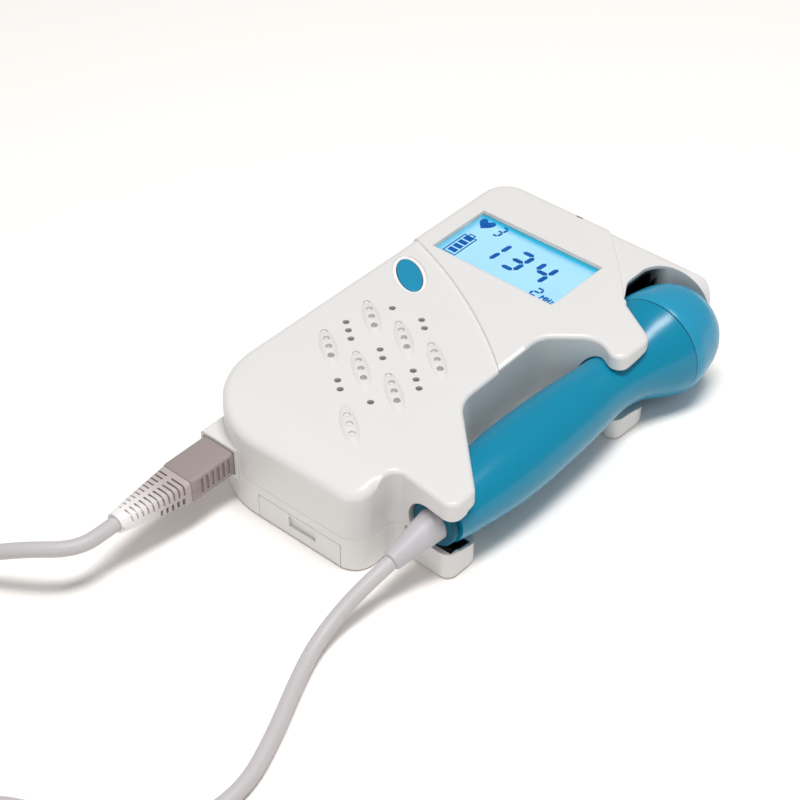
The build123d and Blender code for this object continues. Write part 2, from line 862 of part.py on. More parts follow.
def make_lcd_window():
    return display_block(lens_margin - fit_gap, window_base_z, panel_height - window_recess)


def make_lcd_glass():
    return display_block(1.0, glass_top_z - glass_thickness, glass_top_z)


def make_lcd_backlight():
    return display_block(0.6, backlight_top_z - backlight_thickness, backlight_top_z)


def make_lcd_bracket():
    """The open frame that holds glass and backlight over the board."""
    top = window_base_z
    outer = display_block(1.0 + fit_gap + bracket_wall, board_top_z, roof_z - 0.1)
    opening = display_block(1.0 + fit_gap, board_top_z + bracket_wall, top + 1)
    well = display_block(-1.5, board_top_z - 1, board_top_z + 2)
    return outer - opening - well


def make_lcd_connector():
    """The rubber strip that joins the glass to the board, along the display's near side."""
    y = window_y - 0.4
    return block(window_x + 3, window_x + window_width - 3, y + 2.3, y + 4.5, board_top_z,
                 backlight_top_z - backlight_thickness)


# ---------------------------------------------------------------- controls

def make_power_button():
    cap_top = case_height + button_proud
    flange_top = roof_z - 0.1
    cap = oval(button_long, button_short, flange_top - 0.4, cap_top)
    top_edges = cap.edges().group_by(Axis.Z)[-1]
    cap = fillet(top_edges, 0.5)
    lip = button_flange
    flange = oval(button_long + lip, button_short + lip, flange_top - lip, flange_top)
    return cap + flange


def make_power_switch():
    body = block(button_x - 3, button_x + 3, button_y - 3, button_y + 3, board_top_z, switch_top())
    return body - post(button_x, button_y, switch_top() - 1.6, switch_top() + 1, plunger_radius + 0.06)


def switch_top():
    return roof_z - 0.1 - button_flange - button_travel - 0.7


def make_switch_plunger():
    return post(button_x, button_y, switch_top() - 0.7, roof_z - 0.1 - button_flange, plunger_radius)


# ---------------------------------------------------------------- loudspeaker

def speaker_posts():
    reach = speaker_radius + small_post_radius + 0.3
    return [
        (speaker_x + reach * math.cos(math.radians(a)), speaker_y + reach * math.sin(math.radians(a)))
        for a in speaker_screw_angles
    ]


def make_speaker_cloth():
    return post(speaker_x, speaker_y, roof_z - 0.3, roof_z, speaker_radius)


def make_speaker_basket():
    """The dished metal frame of the loudspeaker, its rim against the roof."""
    top = roof_z - 0.3
    rim = post(speaker_x, speaker_y, top - 1.7, top, speaker_radius)
    dish_low = top - speaker_depth + 2.6
    dish = Cone(10.5, speaker_radius - 2, top - 1.7 - dish_low)
    dish = Pos(speaker_x, speaker_y, (top - 1.7 + dish_low) / 2) * dish
    hollow = Cone(9.4, speaker_radius - 1.6, top - dish_low - 1.0)
    hollow = Pos(speaker_x, speaker_y, (top + dish_low + 1.0) / 2) * hollow
    return rim + dish - hollow


def make_speaker_magnet():
    top = roof_z - 0.3 - speaker_depth + 2.6
    return post(speaker_x, speaker_y, top - 2.6, top, magnet_radius)


def make_speaker_cone():
    """The thin paper cone inside the basket, with its dust cap."""
    top = roof_z - 0.5
    height = 3.2
    outer = Pos(speaker_x, speaker_y, top - height / 2) * Cone(7.2, speaker_radius - 2.6, height)
    inner = Pos(speaker_x, speaker_y, top - height / 2 + 0.5) * Cone(7.2, speaker_radius - 2.6, height)
    cap = post(speaker_x, speaker_y, top - height, top - height + 0.9, 7.0)
    return outer - inner + cap


# ---------------------------------------------------------------- board

def make_main_board():
    plan = rounded_polygon([
        (wall + board_margin, board_near_y, 2.0),
        (inner_gap_x - board_margin, board_near_y, 2.0),
        (inner_gap_x - board_margin, pocket_corner_y - 14.0, 1.0),
        (inner_gap_x - 2.6, pocket_corner_y - 6.0, 1.0),
        (inner_gap_x - 2.6, case_length - wall - board_margin, 2.0),
        (wall + board_margin, case_length - wall - board_margin, 6.0),
    ])
    board = Pos(0, 0, board_base_z) * extrude(plan, board_thickness)
    for x, y in case_screw_points:
        board -= post(x, y, board_base_z - 1, board_top_z + 1, screw_post_radius + 0.4)
    for x, y in board_screw_points:
        board -= post(x, y, board_base_z - 1, board_top_z + 1, small_screw_radius)
    return board


def make_board_chips():
    """Processor, amplifier and memory, on the board's underside."""
    places = [(18, 51, 12, 12, 1.4), (34, 55, 7, 5, 1.5), (42, 43, 8, 6, 1.5), (22, 29, 5, 4, 1.2)]
    chips = [
        block(x, x + w, case_length - back, case_length - back + d, board_base_z - h, board_base_z)
        for x, back, w, d, h in places
    ]
    return Compound(children=[solid_of(chip) for chip in chips])


def make_board_capacitors():
    places = [(11.0, 34.0), (11.0, 26.0), (44.0, 27.0)]
    cans = [post(x, case_length - back, board_base_z - 6.5, board_base_z, 2.6) for x, back in places]
    return Compound(children=[solid_of(can) for can in cans])


def make_far_lamp():
    return lamp_slot(lamp_play) & case_block(panel_height)


# ---------------------------------------------------------------- screws

def screw(x, y, head_z, tip_z, shank, head, head_height):
    """A pan head screw driven upwards, with a cross recess in its head."""
    body = post(x, y, head_z - head_height, head_z, head)
    body = fillet(body.edges().group_by(Axis.Z)[0], head_height * 0.4)
    body += post(x, y, head_z - 0.1, tip_z, shank)
    arm = head * 0.55
    low = head_z - head_height
    for turn in (0, 90):
        body -= Pos(x, y, low) * Rot(0, 0, turn) * Box(2 * arm, head * 0.22, head_height)
    return solid_of(body)


def make_case_screws():
    return Compound(children=[
        screw(x, y, counterbore_depth, seam_height + 8,
              screw_shank_radius, screw_head_radius, screw_head_height)
        for x, y in case_screw_points
    ])


def make_board_screws():
    return Compound(children=[
        screw(x, y, board_base_z, board_top_z + 3.5,
              small_screw_radius, small_head_radius, small_head_height)
        for x, y in board_screw_points
    ])


def make_speaker_screws():
    low = roof_z - 2.0
    return Compound(children=[
        screw(x, y, low, roof_z - 0.4, small_screw_radius, small_post_radius + 0.7, small_head_height)
        for x, y in speaker_posts()
    ])


# ---------------------------------------------------------------- socket and plug

def pin_points():
    first = plug_x - pin_pitch * (pin_count - 1) / 2
    return [(first + pin_pitch * index, plug_mid_z) for index in range(pin_count)]


def along_y(x, z, y0, y1, radius):
    return Pos(x, (y0 + y1) / 2, z) * Rot(90, 0, 0) * Cylinder(radius, y1 - y0)


def make_probe_socket():
    body = block(
        plug_left_x, plug_right_x, socket_near_y, socket_near_y + socket_length, plug_low_z, plug_top_z,
    )
    for x, z in pin_points():
        body -= along_y(x, z, socket_near_y - 1, socket_near_y + socket_length + 1, pin_radius)
    return body


def make_socket_pins():
    return Compound(children=[
        solid_of(along_y(x, z, socket_near_y - pin_reach, socket_near_y + socket_length + 2.5, pin_radius))
        for x, z in pin_points()
    ])


def make_plug_housing():
    body = block(plug_left_x, plug_right_x, -plug_length, plug_insertion, plug_low_z, plug_top_z)
    body = fillet(body.edges().filter_by(Axis.Y), 0.8)
    for index in range(5):
        y = -1.6 - 1.5 * index
        for x in (plug_left_x, plug_right_x):
            body -= block(x - 0.35, x + 0.35, y - 0.7, y, plug_low_z + 0.9, plug_top_z - 0.9)
    for x, z in pin_points():
        body -= along_y(x, z, plug_insertion - 5.0, plug_insertion + 1, contact_radius)
    body -= along_y(boot_cord_x, boot_cord_z, -plug_length - 1, -plug_length + 7.5, cord_radius + cord_play)
    return body


def make_plug_contacts():
    tubes = []
    for x, z in pin_points():
        tube = along_y(x, z, plug_insertion - 5.0, plug_insertion - 0.2, contact_radius)
        tube -= along_y(x, z, plug_insertion - 6.0, plug_insertion + 1, pin_radius + contact_play)
        tubes.append(solid_of(tube))
    return Compound(children=tubes)


def make_plug_boot():
    """The soft tapering end of the plug, slit across so that it bends."""
    root = Pos(plug_x, -plug_length, plug_mid_z) * Rot(90, 0, 0) * RectangleRounded(
        plug_width - 0.4, plug_height - 0.4, 1.2)
    middle_y = -plug_length - boot_length * 0.55
    middle = Pos((plug_x + boot_cord_x) / 2, middle_y, (plug_mid_z + boot_cord_z) / 2)
    middle = middle * Rot(90, 0, 0) * RectangleRounded(8.2, 6.6, 1.8)
    tip = Pos(boot_cord_x, boot_end_y, boot_cord_z) * Rot(90, 0, 0) * RectangleRounded(
        2 * boot_tip_radius, 2 * boot_tip_radius, boot_tip_radius - 0.2)
    boot = loft([root.face(), middle.face(), tip.face()])
    boot -= along_y(boot_cord_x, boot_cord_z, boot_end_y - 1, -plug_length + 1, cord_radius + cord_play)
    return boot


# ---------------------------------------------------------------- probe

def make_probe_handle():
    points = handle_points()
    edges = closed_profile(profile_edges(points, tail_groove_y, probe_seam_y))
    body = turned(edges)
    inside = [
        (tail_groove_y + 6, 5.2),
        (39.0, shaft_radius - handle_wall),
        (grip_y, grip_radius - handle_wall),
        (grip_y + (neck_y - grip_y) * 2 / 3, waist_radius - handle_wall),
        (neck_y, neck_radius - handle_wall),
        (probe_seam_y - flare_to_seam, flare_radius - handle_wall - 0.4),
        (probe_seam_y - 5.0, face_radius - 0.2),
    ]
    hollow = turned(closed_profile(profile_edges(inside, tail_groove_y + 6, probe_seam_y + 1)))
    bore = along_y(probe_x, probe_z, tail_groove_y - 1, tail_groove_y + 7, collar_stub_radius + glue_gap)
    seat = along_y(probe_x, probe_z, seal_near_y(), probe_seam_y + 1, skirt_radius + glue_gap)
    return body - hollow - bore - seat + board_ribs()


def board_ribs():
    """Two bulkheads inside the handle that carry the probe's board."""
    slot = probe_board_block(glue_gap)
    ribs = None
    for y, radius in ((near_rib_y, near_rib_radius), (far_rib_y, far_rib_radius)):
        rib = along_y(probe_x, probe_z, y, y + rib_thickness, radius)
        rib -= along_y(probe_x, probe_z + 3.6, y - 1, y + 3, 2.4)
        rib -= slot
        ribs = rib if ribs is None else ribs + rib
    return ribs


def probe_board_block(margin):
    z = probe_z - probe_board_drop
    half = probe_board_width / 2 + margin
    thick = board_thickness / 2 + margin
    far = probe_board_y + probe_board_length
    return block(probe_x - half, probe_x + half, probe_board_y, far, z - thick, z + thick)


def seal_near_y():
    return probe_seam_y + seam_gap - cap_skirt - seal_height


def make_tail_collar():
    """The separate collar at the tail, with a stub that is glued into the handle."""
    collar = along_y(probe_x, probe_z, probe_tail_y, tail_groove_y - 0.9, collar_radius)
    collar = fillet(collar.edges().filter_by(GeomType.CIRCLE), 0.7)
    collar += along_y(probe_x, probe_z, tail_groove_y - 1.0, tail_groove_y, groove_radius)
    collar += along_y(probe_x, probe_z, tail_groove_y - 0.1, tail_groove_y + 5.5, collar_stub_radius)
    collar -= Pos(probe_x, probe_tail_y + 0.2, probe_z) * Sphere(sleeve_radius + glue_gap)
    collar -= along_y(probe_x, probe_z, probe_tail_y, tail_groove_y + 6, cord_radius)
    return collar


def sleeve_direction():
    start = Vector(probe_x, probe_tail_y + 0.2, probe_z)
    return start, (Vector(*sleeve_end) - start)


def make_probe_sleeve():
    """The tapered sleeve where the cord leaves the probe, with a ball seated in the collar."""
    start, way = sleeve_direction()
    length = way.length
    bevel = 0.3
    shoulder = sleeve_radius * math.sqrt(0.5)
    edges = [
        ThreePointArc((-sleeve_radius, 0), (-shoulder, shoulder), (0, sleeve_radius)),
        Line((0, sleeve_radius), (length - bevel, sleeve_end_radius + 0.05)),
        Line((length - bevel, sleeve_end_radius + 0.05), (length, sleeve_end_radius - bevel + 0.05)),
        Line((length, sleeve_end_radius - bevel + 0.05), (length, 0)),
        Line((length, 0), (-sleeve_radius, 0)),
    ]
    body = revolve(make_face(edges), Axis.X, 360)
    along = way.normalized()
    return Plane(origin=start, x_dir=along, z_dir=along.cross(Vector(1, 0, 0)).normalized()) * body


def make_probe_cap():
    """The transducer's cover: a tapering drum with a gently domed front."""
    start = probe_seam_y + seam_gap
    rim = (start + cap_rim, cap_rim_radius)
    sag = probe_end_y - rim[0]
    dome = (rim[1] ** 2 + sag ** 2) / (2 * sag)
    dome_middle = (probe_end_y - dome + math.sqrt(dome ** 2 - (rim[1] / 2) ** 2), rim[1] / 2)
    shoulder = [
        (start + 0.3, seam_radius),
        (start + cap_widest, head_radius),
        (start + cap_mid, cap_mid_radius),
        (start + cap_fall, cap_fall_radius),
        (start + cap_shoulder, cap_shoulder_radius),
    ]
    edges = [
        Line((start, seam_radius - 0.3), shoulder[0]),
        Spline(*shoulder),
        Line(shoulder[-1], rim),
        ThreePointArc(rim, dome_middle, (probe_end_y, 0)),
        Line((probe_end_y, 0), (start - cap_skirt, 0)),
        Line((start - cap_skirt, 0), (start - cap_skirt, skirt_radius)),
        Line((start - cap_skirt, skirt_radius), (start, skirt_radius)),
        Line((start, skirt_radius), (start, seam_radius - 0.3)),
    ]
    bore = along_y(probe_x, probe_z, start - cap_skirt - 1, probe_end_y - 4.4, face_radius)
    return turned(edges) - bore


def make_acoustic_face():
    return along_y(probe_x, probe_z, probe_end_y - 5.6, probe_end_y - 4.4, face_radius)


def make_probe_crystals():
    """Two half discs, one to send and one to receive."""
    base = probe_end_y - 5.6
    disc = along_y(probe_x, probe_z, base - 1.2, base, face_radius - 1.2)
    slot = block(probe_x - 0.4, probe_x + 0.4, base - 5, base + 5, 0, 40)
    halves = disc - slot
    return Compound(children=halves.solids())


def make_crystal_backing():
    base = probe_end_y - 6.8
    return along_y(probe_x, probe_z, base - 4.0, base, face_radius)


def make_probe_seal():
    """The flat ring between the cap's skirt and its seat in the handle."""
    y = seal_near_y()
    ring = along_y(probe_x, probe_z, y, y + seal_height, skirt_radius)
    return ring - along_y(probe_x, probe_z, y - 1, y + 2, face_radius + 0.2)


def make_probe_board():
    return probe_board_block(0)


# ---------------------------------------------------------------- cord

def right_route():
    """From the probe's sleeve down to the table and round to the coil."""
    ball, way = sleeve_direction()
    straight = ball + way * 1.62
    return [
        sleeve_end,
        (straight.X, straight.Y, straight.Z),
        (70.6, -17.6, 5.6),
        (71.6, -27.0, 2.7),
        (76.0, -38.0, cord_z),
        (83.2, -53.0, cord_z),
        (89.2, -69.0, cord_z),
        (87.4, -86.0, cord_z),
        (76.0, -97.6, cord_z),
        (61.6, -103.2, cord_z),
        (49.6, -108.4, cord_z),
        (42.4, -119.0, cord_z + 0.3),
        (36.6, -129.4, 4.4),
    ]


def left_route():
    """From the coil up to the plug's boot."""
    return [
        (-18.7, -113.0, cord_z),
        (-19.4, -102.5, cord_z),
        (-20.4, -91.0, cord_z + 0.1),
        (-18.8, -77.5, 3.4),
        (-11.9, -66.0, 8.0),
        (0.7, -60.1, 12.9),
        (boot_cord_x, -50.5, boot_cord_z),
        (boot_cord_x, -35.4, boot_cord_z),
    ]


def corner_radii(points):
    """Each arc as large as its two runs allow."""
    radii = []
    for before, here, after in zip(points, points[1:], points[2:]):
        first = Vector(*here) - Vector(*before)
        second = Vector(*after) - Vector(*here)
        half_turn = math.radians(first.get_angle(second)) / 2
        radii.append(0.45 * min(first.length, second.length) / math.tan(half_turn))
    return radii


def make_tube(name, points):
    radii = corner_radii(points)
    path = FilletPolyline(*points, radius=radii)
    section = Plane(origin=path @ 0, z_dir=path % 0) * Circle(cord_radius)
    tube = sweep(section, path=path)
    expected = math.pi * cord_radius ** 2 * path.length
    print(name, "radii", [round(r, 1) for r in radii])
    print(name, "length", round(path.length, 1))
    print(name, "volume", round(tube.volume, 1), "expected", round(expected, 1))
    return tube


def make_cord_coil():
    """The outer form of the tied coil."""
    x, y = coil_centre
    outer = post(x, y, cord_lift, cord_lift + coil_height, coil_mid_radius + coil_width / 2)
    ring = outer - post(x, y, -1, coil_height + 2, coil_mid_radius - coil_width / 2)
    return fillet(ring.edges().filter_by(GeomType.CIRCLE), 1.9)


def make_cord_tie():
    """A strap drawn tight round the bundle, across the coil's near side."""
    x, y = coil_centre
    middle = y - coil_mid_radius
    half = coil_width / 2
    high = cord_lift + coil_height
    outer = block(
        x - tie_width / 2, x + tie_width / 2,
        middle - half - tie_thickness, middle + half + tie_thickness,
        cord_lift, high + tie_thickness,
    )
    outer = fillet(outer.edges().filter_by(Axis.X), 1.6)
    low = cord_lift + tie_thickness
    inner = block(x - tie_width, x + tie_width, middle - half, middle + half, low, high)
    return outer - inner


# ---------------------------------------------------------------- all parts

def build_parts():
    around, way_out = probe_space()
    parts = {
        "top_shell": make_top_shell(around, way_out),
        "bottom_shell": make_bottom_shell(around, way_out),
        "battery_door": make_battery_door(),
        "aa_cells": make_cells(),
        "battery_springs": make_battery_springs(),
        "battery_contacts": make_battery_contacts(),
        "lcd_window": make_lcd_window(),
        "lcd_glass": make_lcd_glass(),
        "lcd_backlight": make_lcd_backlight(),
        "lcd_bracket": make_lcd_bracket(),
        "lcd_connector": make_lcd_connector(),
        "power_button": make_power_button(),
        "power_switch": make_power_switch(),
        "switch_plunger": make_switch_plunger(),
        "speaker_cloth": make_speaker_cloth(),
        "speaker_basket": make_speaker_basket(),
        "speaker_magnet": make_speaker_magnet(),
        "speaker_cone": make_speaker_cone(),
        "speaker_screws": make_speaker_screws(),
        "main_board": make_main_board(),
        "board_chips": make_board_chips(),
        "board_capacitors": make_board_capacitors(),
        "board_screws": make_board_screws(),
        "case_screws": make_case_screws(),
        "far_lamp": make_far_lamp(),
        "probe_socket": make_probe_socket(),
        "socket_pins": make_socket_pins(),
        "plug_housing": make_plug_housing(),
        "plug_contacts": make_plug_contacts(),
        "plug_boot": make_plug_boot(),
        "probe_handle": make_probe_handle(),
        "probe_tail_collar": make_tail_collar(),
        "probe_sleeve": make_probe_sleeve(),
        "probe_cap": make_probe_cap(),
        "acoustic_face": make_acoustic_face(),
        "probe_crystals": make_probe_crystals(),
        "crystal_backing": make_crystal_backing(),
        "probe_seal": make_probe_seal(),
        "probe_board": make_probe_board(),
        "cord_probe_run": make_tube("cord_probe_run", right_route()),
        "cord_plug_run": make_tube("cord_plug_run", left_route()),
        "cord_coil": make_cord_coil(),
        "cord_tie": make_cord_tie(),
    }
    return parts


def main():
    os.makedirs("parts", exist_ok=True)
    for name, shape in build_parts().items():
        solids = [Pos(-origin_x, -origin_y, 0) * solid for solid in shape.solids()]
        placed = solids[0] if len(solids) == 1 else Compound(children=solids)
        export_step(placed, f"parts/{name}.step")


main()
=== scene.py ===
import json
import math

import bmesh
import bpy
from bpy.props import FloatProperty, FloatVectorProperty, IntProperty, PointerProperty
from mathutils import Matrix, Vector


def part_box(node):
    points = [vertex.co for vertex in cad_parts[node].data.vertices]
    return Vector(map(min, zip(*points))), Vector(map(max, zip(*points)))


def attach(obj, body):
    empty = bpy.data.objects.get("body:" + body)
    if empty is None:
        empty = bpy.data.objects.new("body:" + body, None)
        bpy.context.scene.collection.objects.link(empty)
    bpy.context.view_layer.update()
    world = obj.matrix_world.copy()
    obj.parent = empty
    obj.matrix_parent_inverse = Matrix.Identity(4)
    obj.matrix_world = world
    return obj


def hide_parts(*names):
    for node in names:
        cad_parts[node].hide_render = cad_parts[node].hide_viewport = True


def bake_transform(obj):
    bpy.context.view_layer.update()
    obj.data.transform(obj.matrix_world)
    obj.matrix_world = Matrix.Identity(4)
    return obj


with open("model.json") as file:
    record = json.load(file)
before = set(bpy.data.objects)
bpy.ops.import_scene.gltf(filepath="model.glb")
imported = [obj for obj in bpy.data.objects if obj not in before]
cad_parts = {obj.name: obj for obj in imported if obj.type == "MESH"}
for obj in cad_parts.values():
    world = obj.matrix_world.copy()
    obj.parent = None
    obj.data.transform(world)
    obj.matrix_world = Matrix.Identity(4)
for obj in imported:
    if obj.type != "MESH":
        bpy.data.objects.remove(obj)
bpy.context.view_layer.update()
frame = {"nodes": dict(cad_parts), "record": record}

bl_info = {
    "name": "Fetal doppler monitor",
    "version": (1, 0, 0),
    "blender": (4, 5, 0),
    "location": "View3D > Sidebar > Doppler",
    "description": "Dresses the fetal doppler monitor: case, display, probe, plug and cord",
    "category": "Object",
}

MM = 0.001
ORIGIN = Vector((45.0, 67.5, 0.0))  # the frame's origin, from the case's near left corner


def at(x, y, z):
    """A point of the frame in metres, given in millimetres from the case's near left corner."""
    return (Vector((x, y, z)) - ORIGIN) * MM


# ---------- settings

class CordSettings(bpy.types.PropertyGroup):
    diameter: FloatProperty(
        name="Diameter", description="Thickness of the cord", default=0.0042, unit="LENGTH")
    sides: IntProperty(name="Sides", description="Faces round the cord", default=20, min=8, max=48)
    colour: FloatVectorProperty(
        name="Colour", description="Colour of the cord's jacket", subtype="COLOR",
        default=(0.555, 0.525, 0.53))
    sleeve_colour: FloatVectorProperty(
        name="Sleeve", description="Colour of the sleeve at the probe", subtype="COLOR",
        default=(0.515, 0.50, 0.525))
    plug_colour: FloatVectorProperty(
        name="Plug", description="Colour of the plug's housing", subtype="COLOR",
        default=(0.325, 0.27, 0.265))
    boot_colour: FloatVectorProperty(
        name="Boot", description="Colour of the slit boot at the plug", subtype="COLOR",
        default=(0.46, 0.40, 0.39))
    # a painted highlight: the near-white glare on the boot's thin end
    boot_tip_highlight: FloatVectorProperty(
        name="Boot tip", description="Colour of the boot's thin end", subtype="COLOR",
        default=(0.86, 0.82, 0.82))


class CaseSettings(bpy.types.PropertyGroup):
    colour: FloatVectorProperty(
        name="Case", description="Colour of the two shells", subtype="COLOR",
        default=(0.74, 0.725, 0.71))
    shade: FloatVectorProperty(
        name="Mottle", description="Faint second tone of the shells", subtype="COLOR",
        default=(0.72, 0.705, 0.69))
    roughness: FloatProperty(
        name="Roughness", description="How matt the shells are", subtype="FACTOR",
        default=0.34, min=0.0, max=1.0)
    button_colour: FloatVectorProperty(
        name="Button", description="Colour of the power button", subtype="COLOR",
        default=(0.004, 0.26, 0.45))


class DisplaySettings(bpy.types.PropertyGroup):
    lit: FloatVectorProperty(
        name="Lit", description="Colour of the lit ground", subtype="COLOR",
        default=(0.40, 0.70, 0.87))
    deep: FloatVectorProperty(
        name="Deep", description="Colour of the ground beside the lamps", subtype="COLOR",
        default=(0.03, 0.43, 0.67))
    ink: FloatVectorProperty(
        name="Segments", description="Colour of the digits", subtype="COLOR",
        default=(0.003, 0.062, 0.25))
    strength: FloatProperty(
        name="Glow", description="Brightness of the lit ground", default=1.08, min=0.0, max=5.0)


class ProbeSettings(bpy.types.PropertyGroup):
    handle: FloatVectorProperty(
        name="Handle", description="Colour of the handle", subtype="COLOR",
        default=(0.0, 0.235, 0.385))
    cap: FloatVectorProperty(
        name="Cap", description="Colour of the head's cap", subtype="COLOR",
        default=(0.016, 0.295, 0.485))
    gloss: FloatProperty(
        name="Gloss", description="How strongly the blue plastic mirrors the light",
        subtype="FACTOR", default=0.40, min=0.0, max=1.0)


class StageSettings(bpy.types.PropertyGroup):
    floor: FloatVectorProperty(
        name="Floor", description="Colour of the floor", subtype="COLOR",
        default=(0.99, 0.96, 0.93))
    surround: FloatProperty(
        name="Surround", description="Strength of the even light all round",
        default=0.34, min=0.0, max=5.0)
    key: FloatProperty(
        name="Key", description="Power of the light overhead", unit="POWER", default=8.4, min=0.0)
    side: FloatProperty(
        name="Side", description="Power of the wide light on the left", unit="POWER",
        default=0.2, min=0.0)
    front: FloatProperty(
        name="Front", description="Power of the low fill light in front", unit="POWER",
        default=2.2, min=0.0)


# ---------- shader groups

COLOUR = "NodeSocketColor"
VALUE = "NodeSocketFloat"
VECTOR = "NodeSocketVector"
GREY = (0.5, 0.5, 0.5, 1.0)
BLACK = (0.0, 0.0, 0.0, 1.0)
WHITE = (1.0, 1.0, 1.0, 1.0)


def add(tree, kind, **values):
    """A new node with some of its values set."""
    node = tree.nodes.new(kind)
    for key, value in values.items():
        setattr(node, key, value)
    return node


def wire(tree, *pairs):
    """Links each pair's first socket to its second."""
    for start, end in pairs:
        tree.links.new(start, end)


def feed(tree, value, socket):
    """Sets a socket to a number, or links another socket to it."""
    if isinstance(value, (int, float)):
        socket.default_value = value
    else:
        tree.links.new(value, socket)


def new_group(name, inputs, outputs):
    """An empty node group with named sockets, and the coordinates of the object that it is on."""
    group = bpy.data.node_groups.new(name, "ShaderNodeTree")
    for label, kind, default in inputs:
        socket = group.interface.new_socket(name=label, in_out="INPUT", socket_type=kind)
        socket.default_value = default
    for label, kind in outputs:
        group.interface.new_socket(name=label, in_out="OUTPUT", socket_type=kind)
    source = group.nodes.new("NodeGroupInput").outputs
    sink = group.nodes.new("NodeGroupOutput").inputs
    return group, source, sink, add(group, "ShaderNodeTexCoord").outputs["Object"]


def maths(tree, operation, first, second):
    """The result of a sum with two numbers or sockets."""
    node = add(tree, "ShaderNodeMath", operation=operation)
    feed(tree, first, node.inputs[0])
    feed(tree, second, node.inputs[1])
    return node.outputs[0]


def blend_colours(tree, factor, first, second):
    """A colour between two others."""
    node = add(tree, "ShaderNodeMix", data_type="RGBA")
    wire(tree, (factor, node.inputs["Factor"]), (first, node.inputs[6]), (second, node.inputs[7]))
    return node.outputs[2]


def noise(tree, place, scale, detail=2.0):
    """A value that drifts through space."""
    node = add(tree, "ShaderNodeTexNoise")
    node.inputs["Detail"].default_value = detail
    wire(tree, (place, node.inputs["Vector"]))
    feed(tree, scale, node.inputs["Scale"])
    return node.outputs["Fac"]


def split(tree, place):
    """The three parts of a vector."""
    node = add(tree, "ShaderNodeSeparateXYZ")
    wire(tree, (place, node.inputs["Vector"]))
    return node.outputs


def moulded_group():
    """Moulded plastic: a faint mottle, a fine grain and uneven gloss."""
    group, source, sink, place = new_group(
        "Moulded plastic",
        [("Colour", COLOUR, GREY), ("Shade", COLOUR, GREY), ("Mottle scale", VALUE, 60.0),
         ("Grain scale", VALUE, 2500.0), ("Roughness", VALUE, 0.4),
         ("Roughness spread", VALUE, 0.08)],
        [("Colour", COLOUR), ("Roughness", VALUE), ("Height", VALUE)],
    )
    mottle = noise(group, place, source["Mottle scale"], 3.0)
    grain = noise(group, place, source["Grain scale"])
    wear = noise(group, place, maths(group, "MULTIPLY", source["Mottle scale"], 4.0), 5.0)
    offset = maths(group, "SUBTRACT", wear, 0.5)
    spread = maths(group, "MULTIPLY", offset, source["Roughness spread"])
    wire(
        group,
        (blend_colours(group, mottle, source["Colour"], source["Shade"]), sink["Colour"]),
        (maths(group, "ADD", source["Roughness"], spread), sink["Roughness"]),
        (grain, sink["Height"]),
    )
    return group


def brushed_group():
    """Metal with fine lines along X and an uneven shine."""
    group, source, sink, place = new_group(
        "Brushed metal",
        [("Colour", COLOUR, GREY), ("Dark", COLOUR, GREY), ("Line scale", VALUE, 900.0),
         ("Roughness", VALUE, 0.3)],
        [("Colour", COLOUR), ("Roughness", VALUE), ("Height", VALUE)],
    )
    stretch = add(group, "ShaderNodeMapping")
    stretch.inputs["Scale"].default_value = (0.08, 1.0, 1.0)
    wire(group, (place, stretch.inputs["Vector"]))
    lines = noise(group, stretch.outputs["Vector"], source["Line scale"], 4.0)
    change = maths(group, "MULTIPLY", lines, 0.15)
    wire(
        group,
        (blend_colours(group, lines, source["Colour"], source["Dark"]), sink["Colour"]),
        (maths(group, "ADD", source["Roughness"], change), sink["Roughness"]),
        (lines, sink["Height"]),
    )
    return group


def woven_group():
    """Plain weave: threads crossing at a small pitch."""
    group, source, sink, place = new_group(
        "Plain weave",
        [("Colour", COLOUR, GREY), ("Gap", COLOUR, GREY), ("Thread scale", VALUE, 600.0)],
        [("Colour", COLOUR), ("Height", VALUE)],
    )
    threads = []
    for direction in "XY":
        wave = add(group, "ShaderNodeTexWave", bands_direction=direction)
        wire(
            group,
            (place, wave.inputs["Vector"]), (source["Thread scale"], wave.inputs["Scale"]),
        )
        threads.append(wave.outputs["Fac"])
    height = maths(group, "MULTIPLY", *threads)
    tone = blend_colours(group, height, source["Gap"], source["Colour"])
    wire(group, (tone, sink["Colour"]), (height, sink["Height"]))
    return group


def glow_group():
    """The lit ground of the display: deeper beside the far and left edges."""
    group, source, sink, place = new_group(
        "Display glow",
        [("Lit", COLOUR, GREY), ("Deep", COLOUR, GREY), ("Far edge", VALUE, 0.05),
         ("Left edge", VALUE, -0.037), ("Reach", VALUE, 0.004), ("Black", COLOUR, BLACK),
         ("Dimming", VALUE, 0.85)],
        [("Colour", COLOUR), ("Dim", COLOUR)],
    )
    across, along, _ = split(group, place)
    from_far = maths(group, "SUBTRACT", source["Far edge"], along)
    from_left = maths(group, "SUBTRACT", across, source["Left edge"])
    masks = []
    for distance, share in ((from_far, 1.0), (from_left, 0.6)):
        near = maths(group, "SUBTRACT", 1.0, maths(group, "DIVIDE", distance, source["Reach"]))
        clamp = add(group, "ShaderNodeClamp")
        wire(group, (near, clamp.inputs["Value"]))
        masks.append(maths(
            group, "MULTIPLY", maths(group, "POWER", clamp.outputs[0], 1.6), share))
    drift = maths(group, "MULTIPLY", noise(group, place, 70.0), 0.16)
    total = maths(group, "ADD", maths(group, "MAXIMUM", *masks), drift)
    tone = blend_colours(group, total, source["Lit"], source["Deep"])
    dim = blend_colours(group, source["Dimming"], tone, source["Black"])
    wire(group, (tone, sink["Colour"]), (dim, sink["Dim"]))
    return group


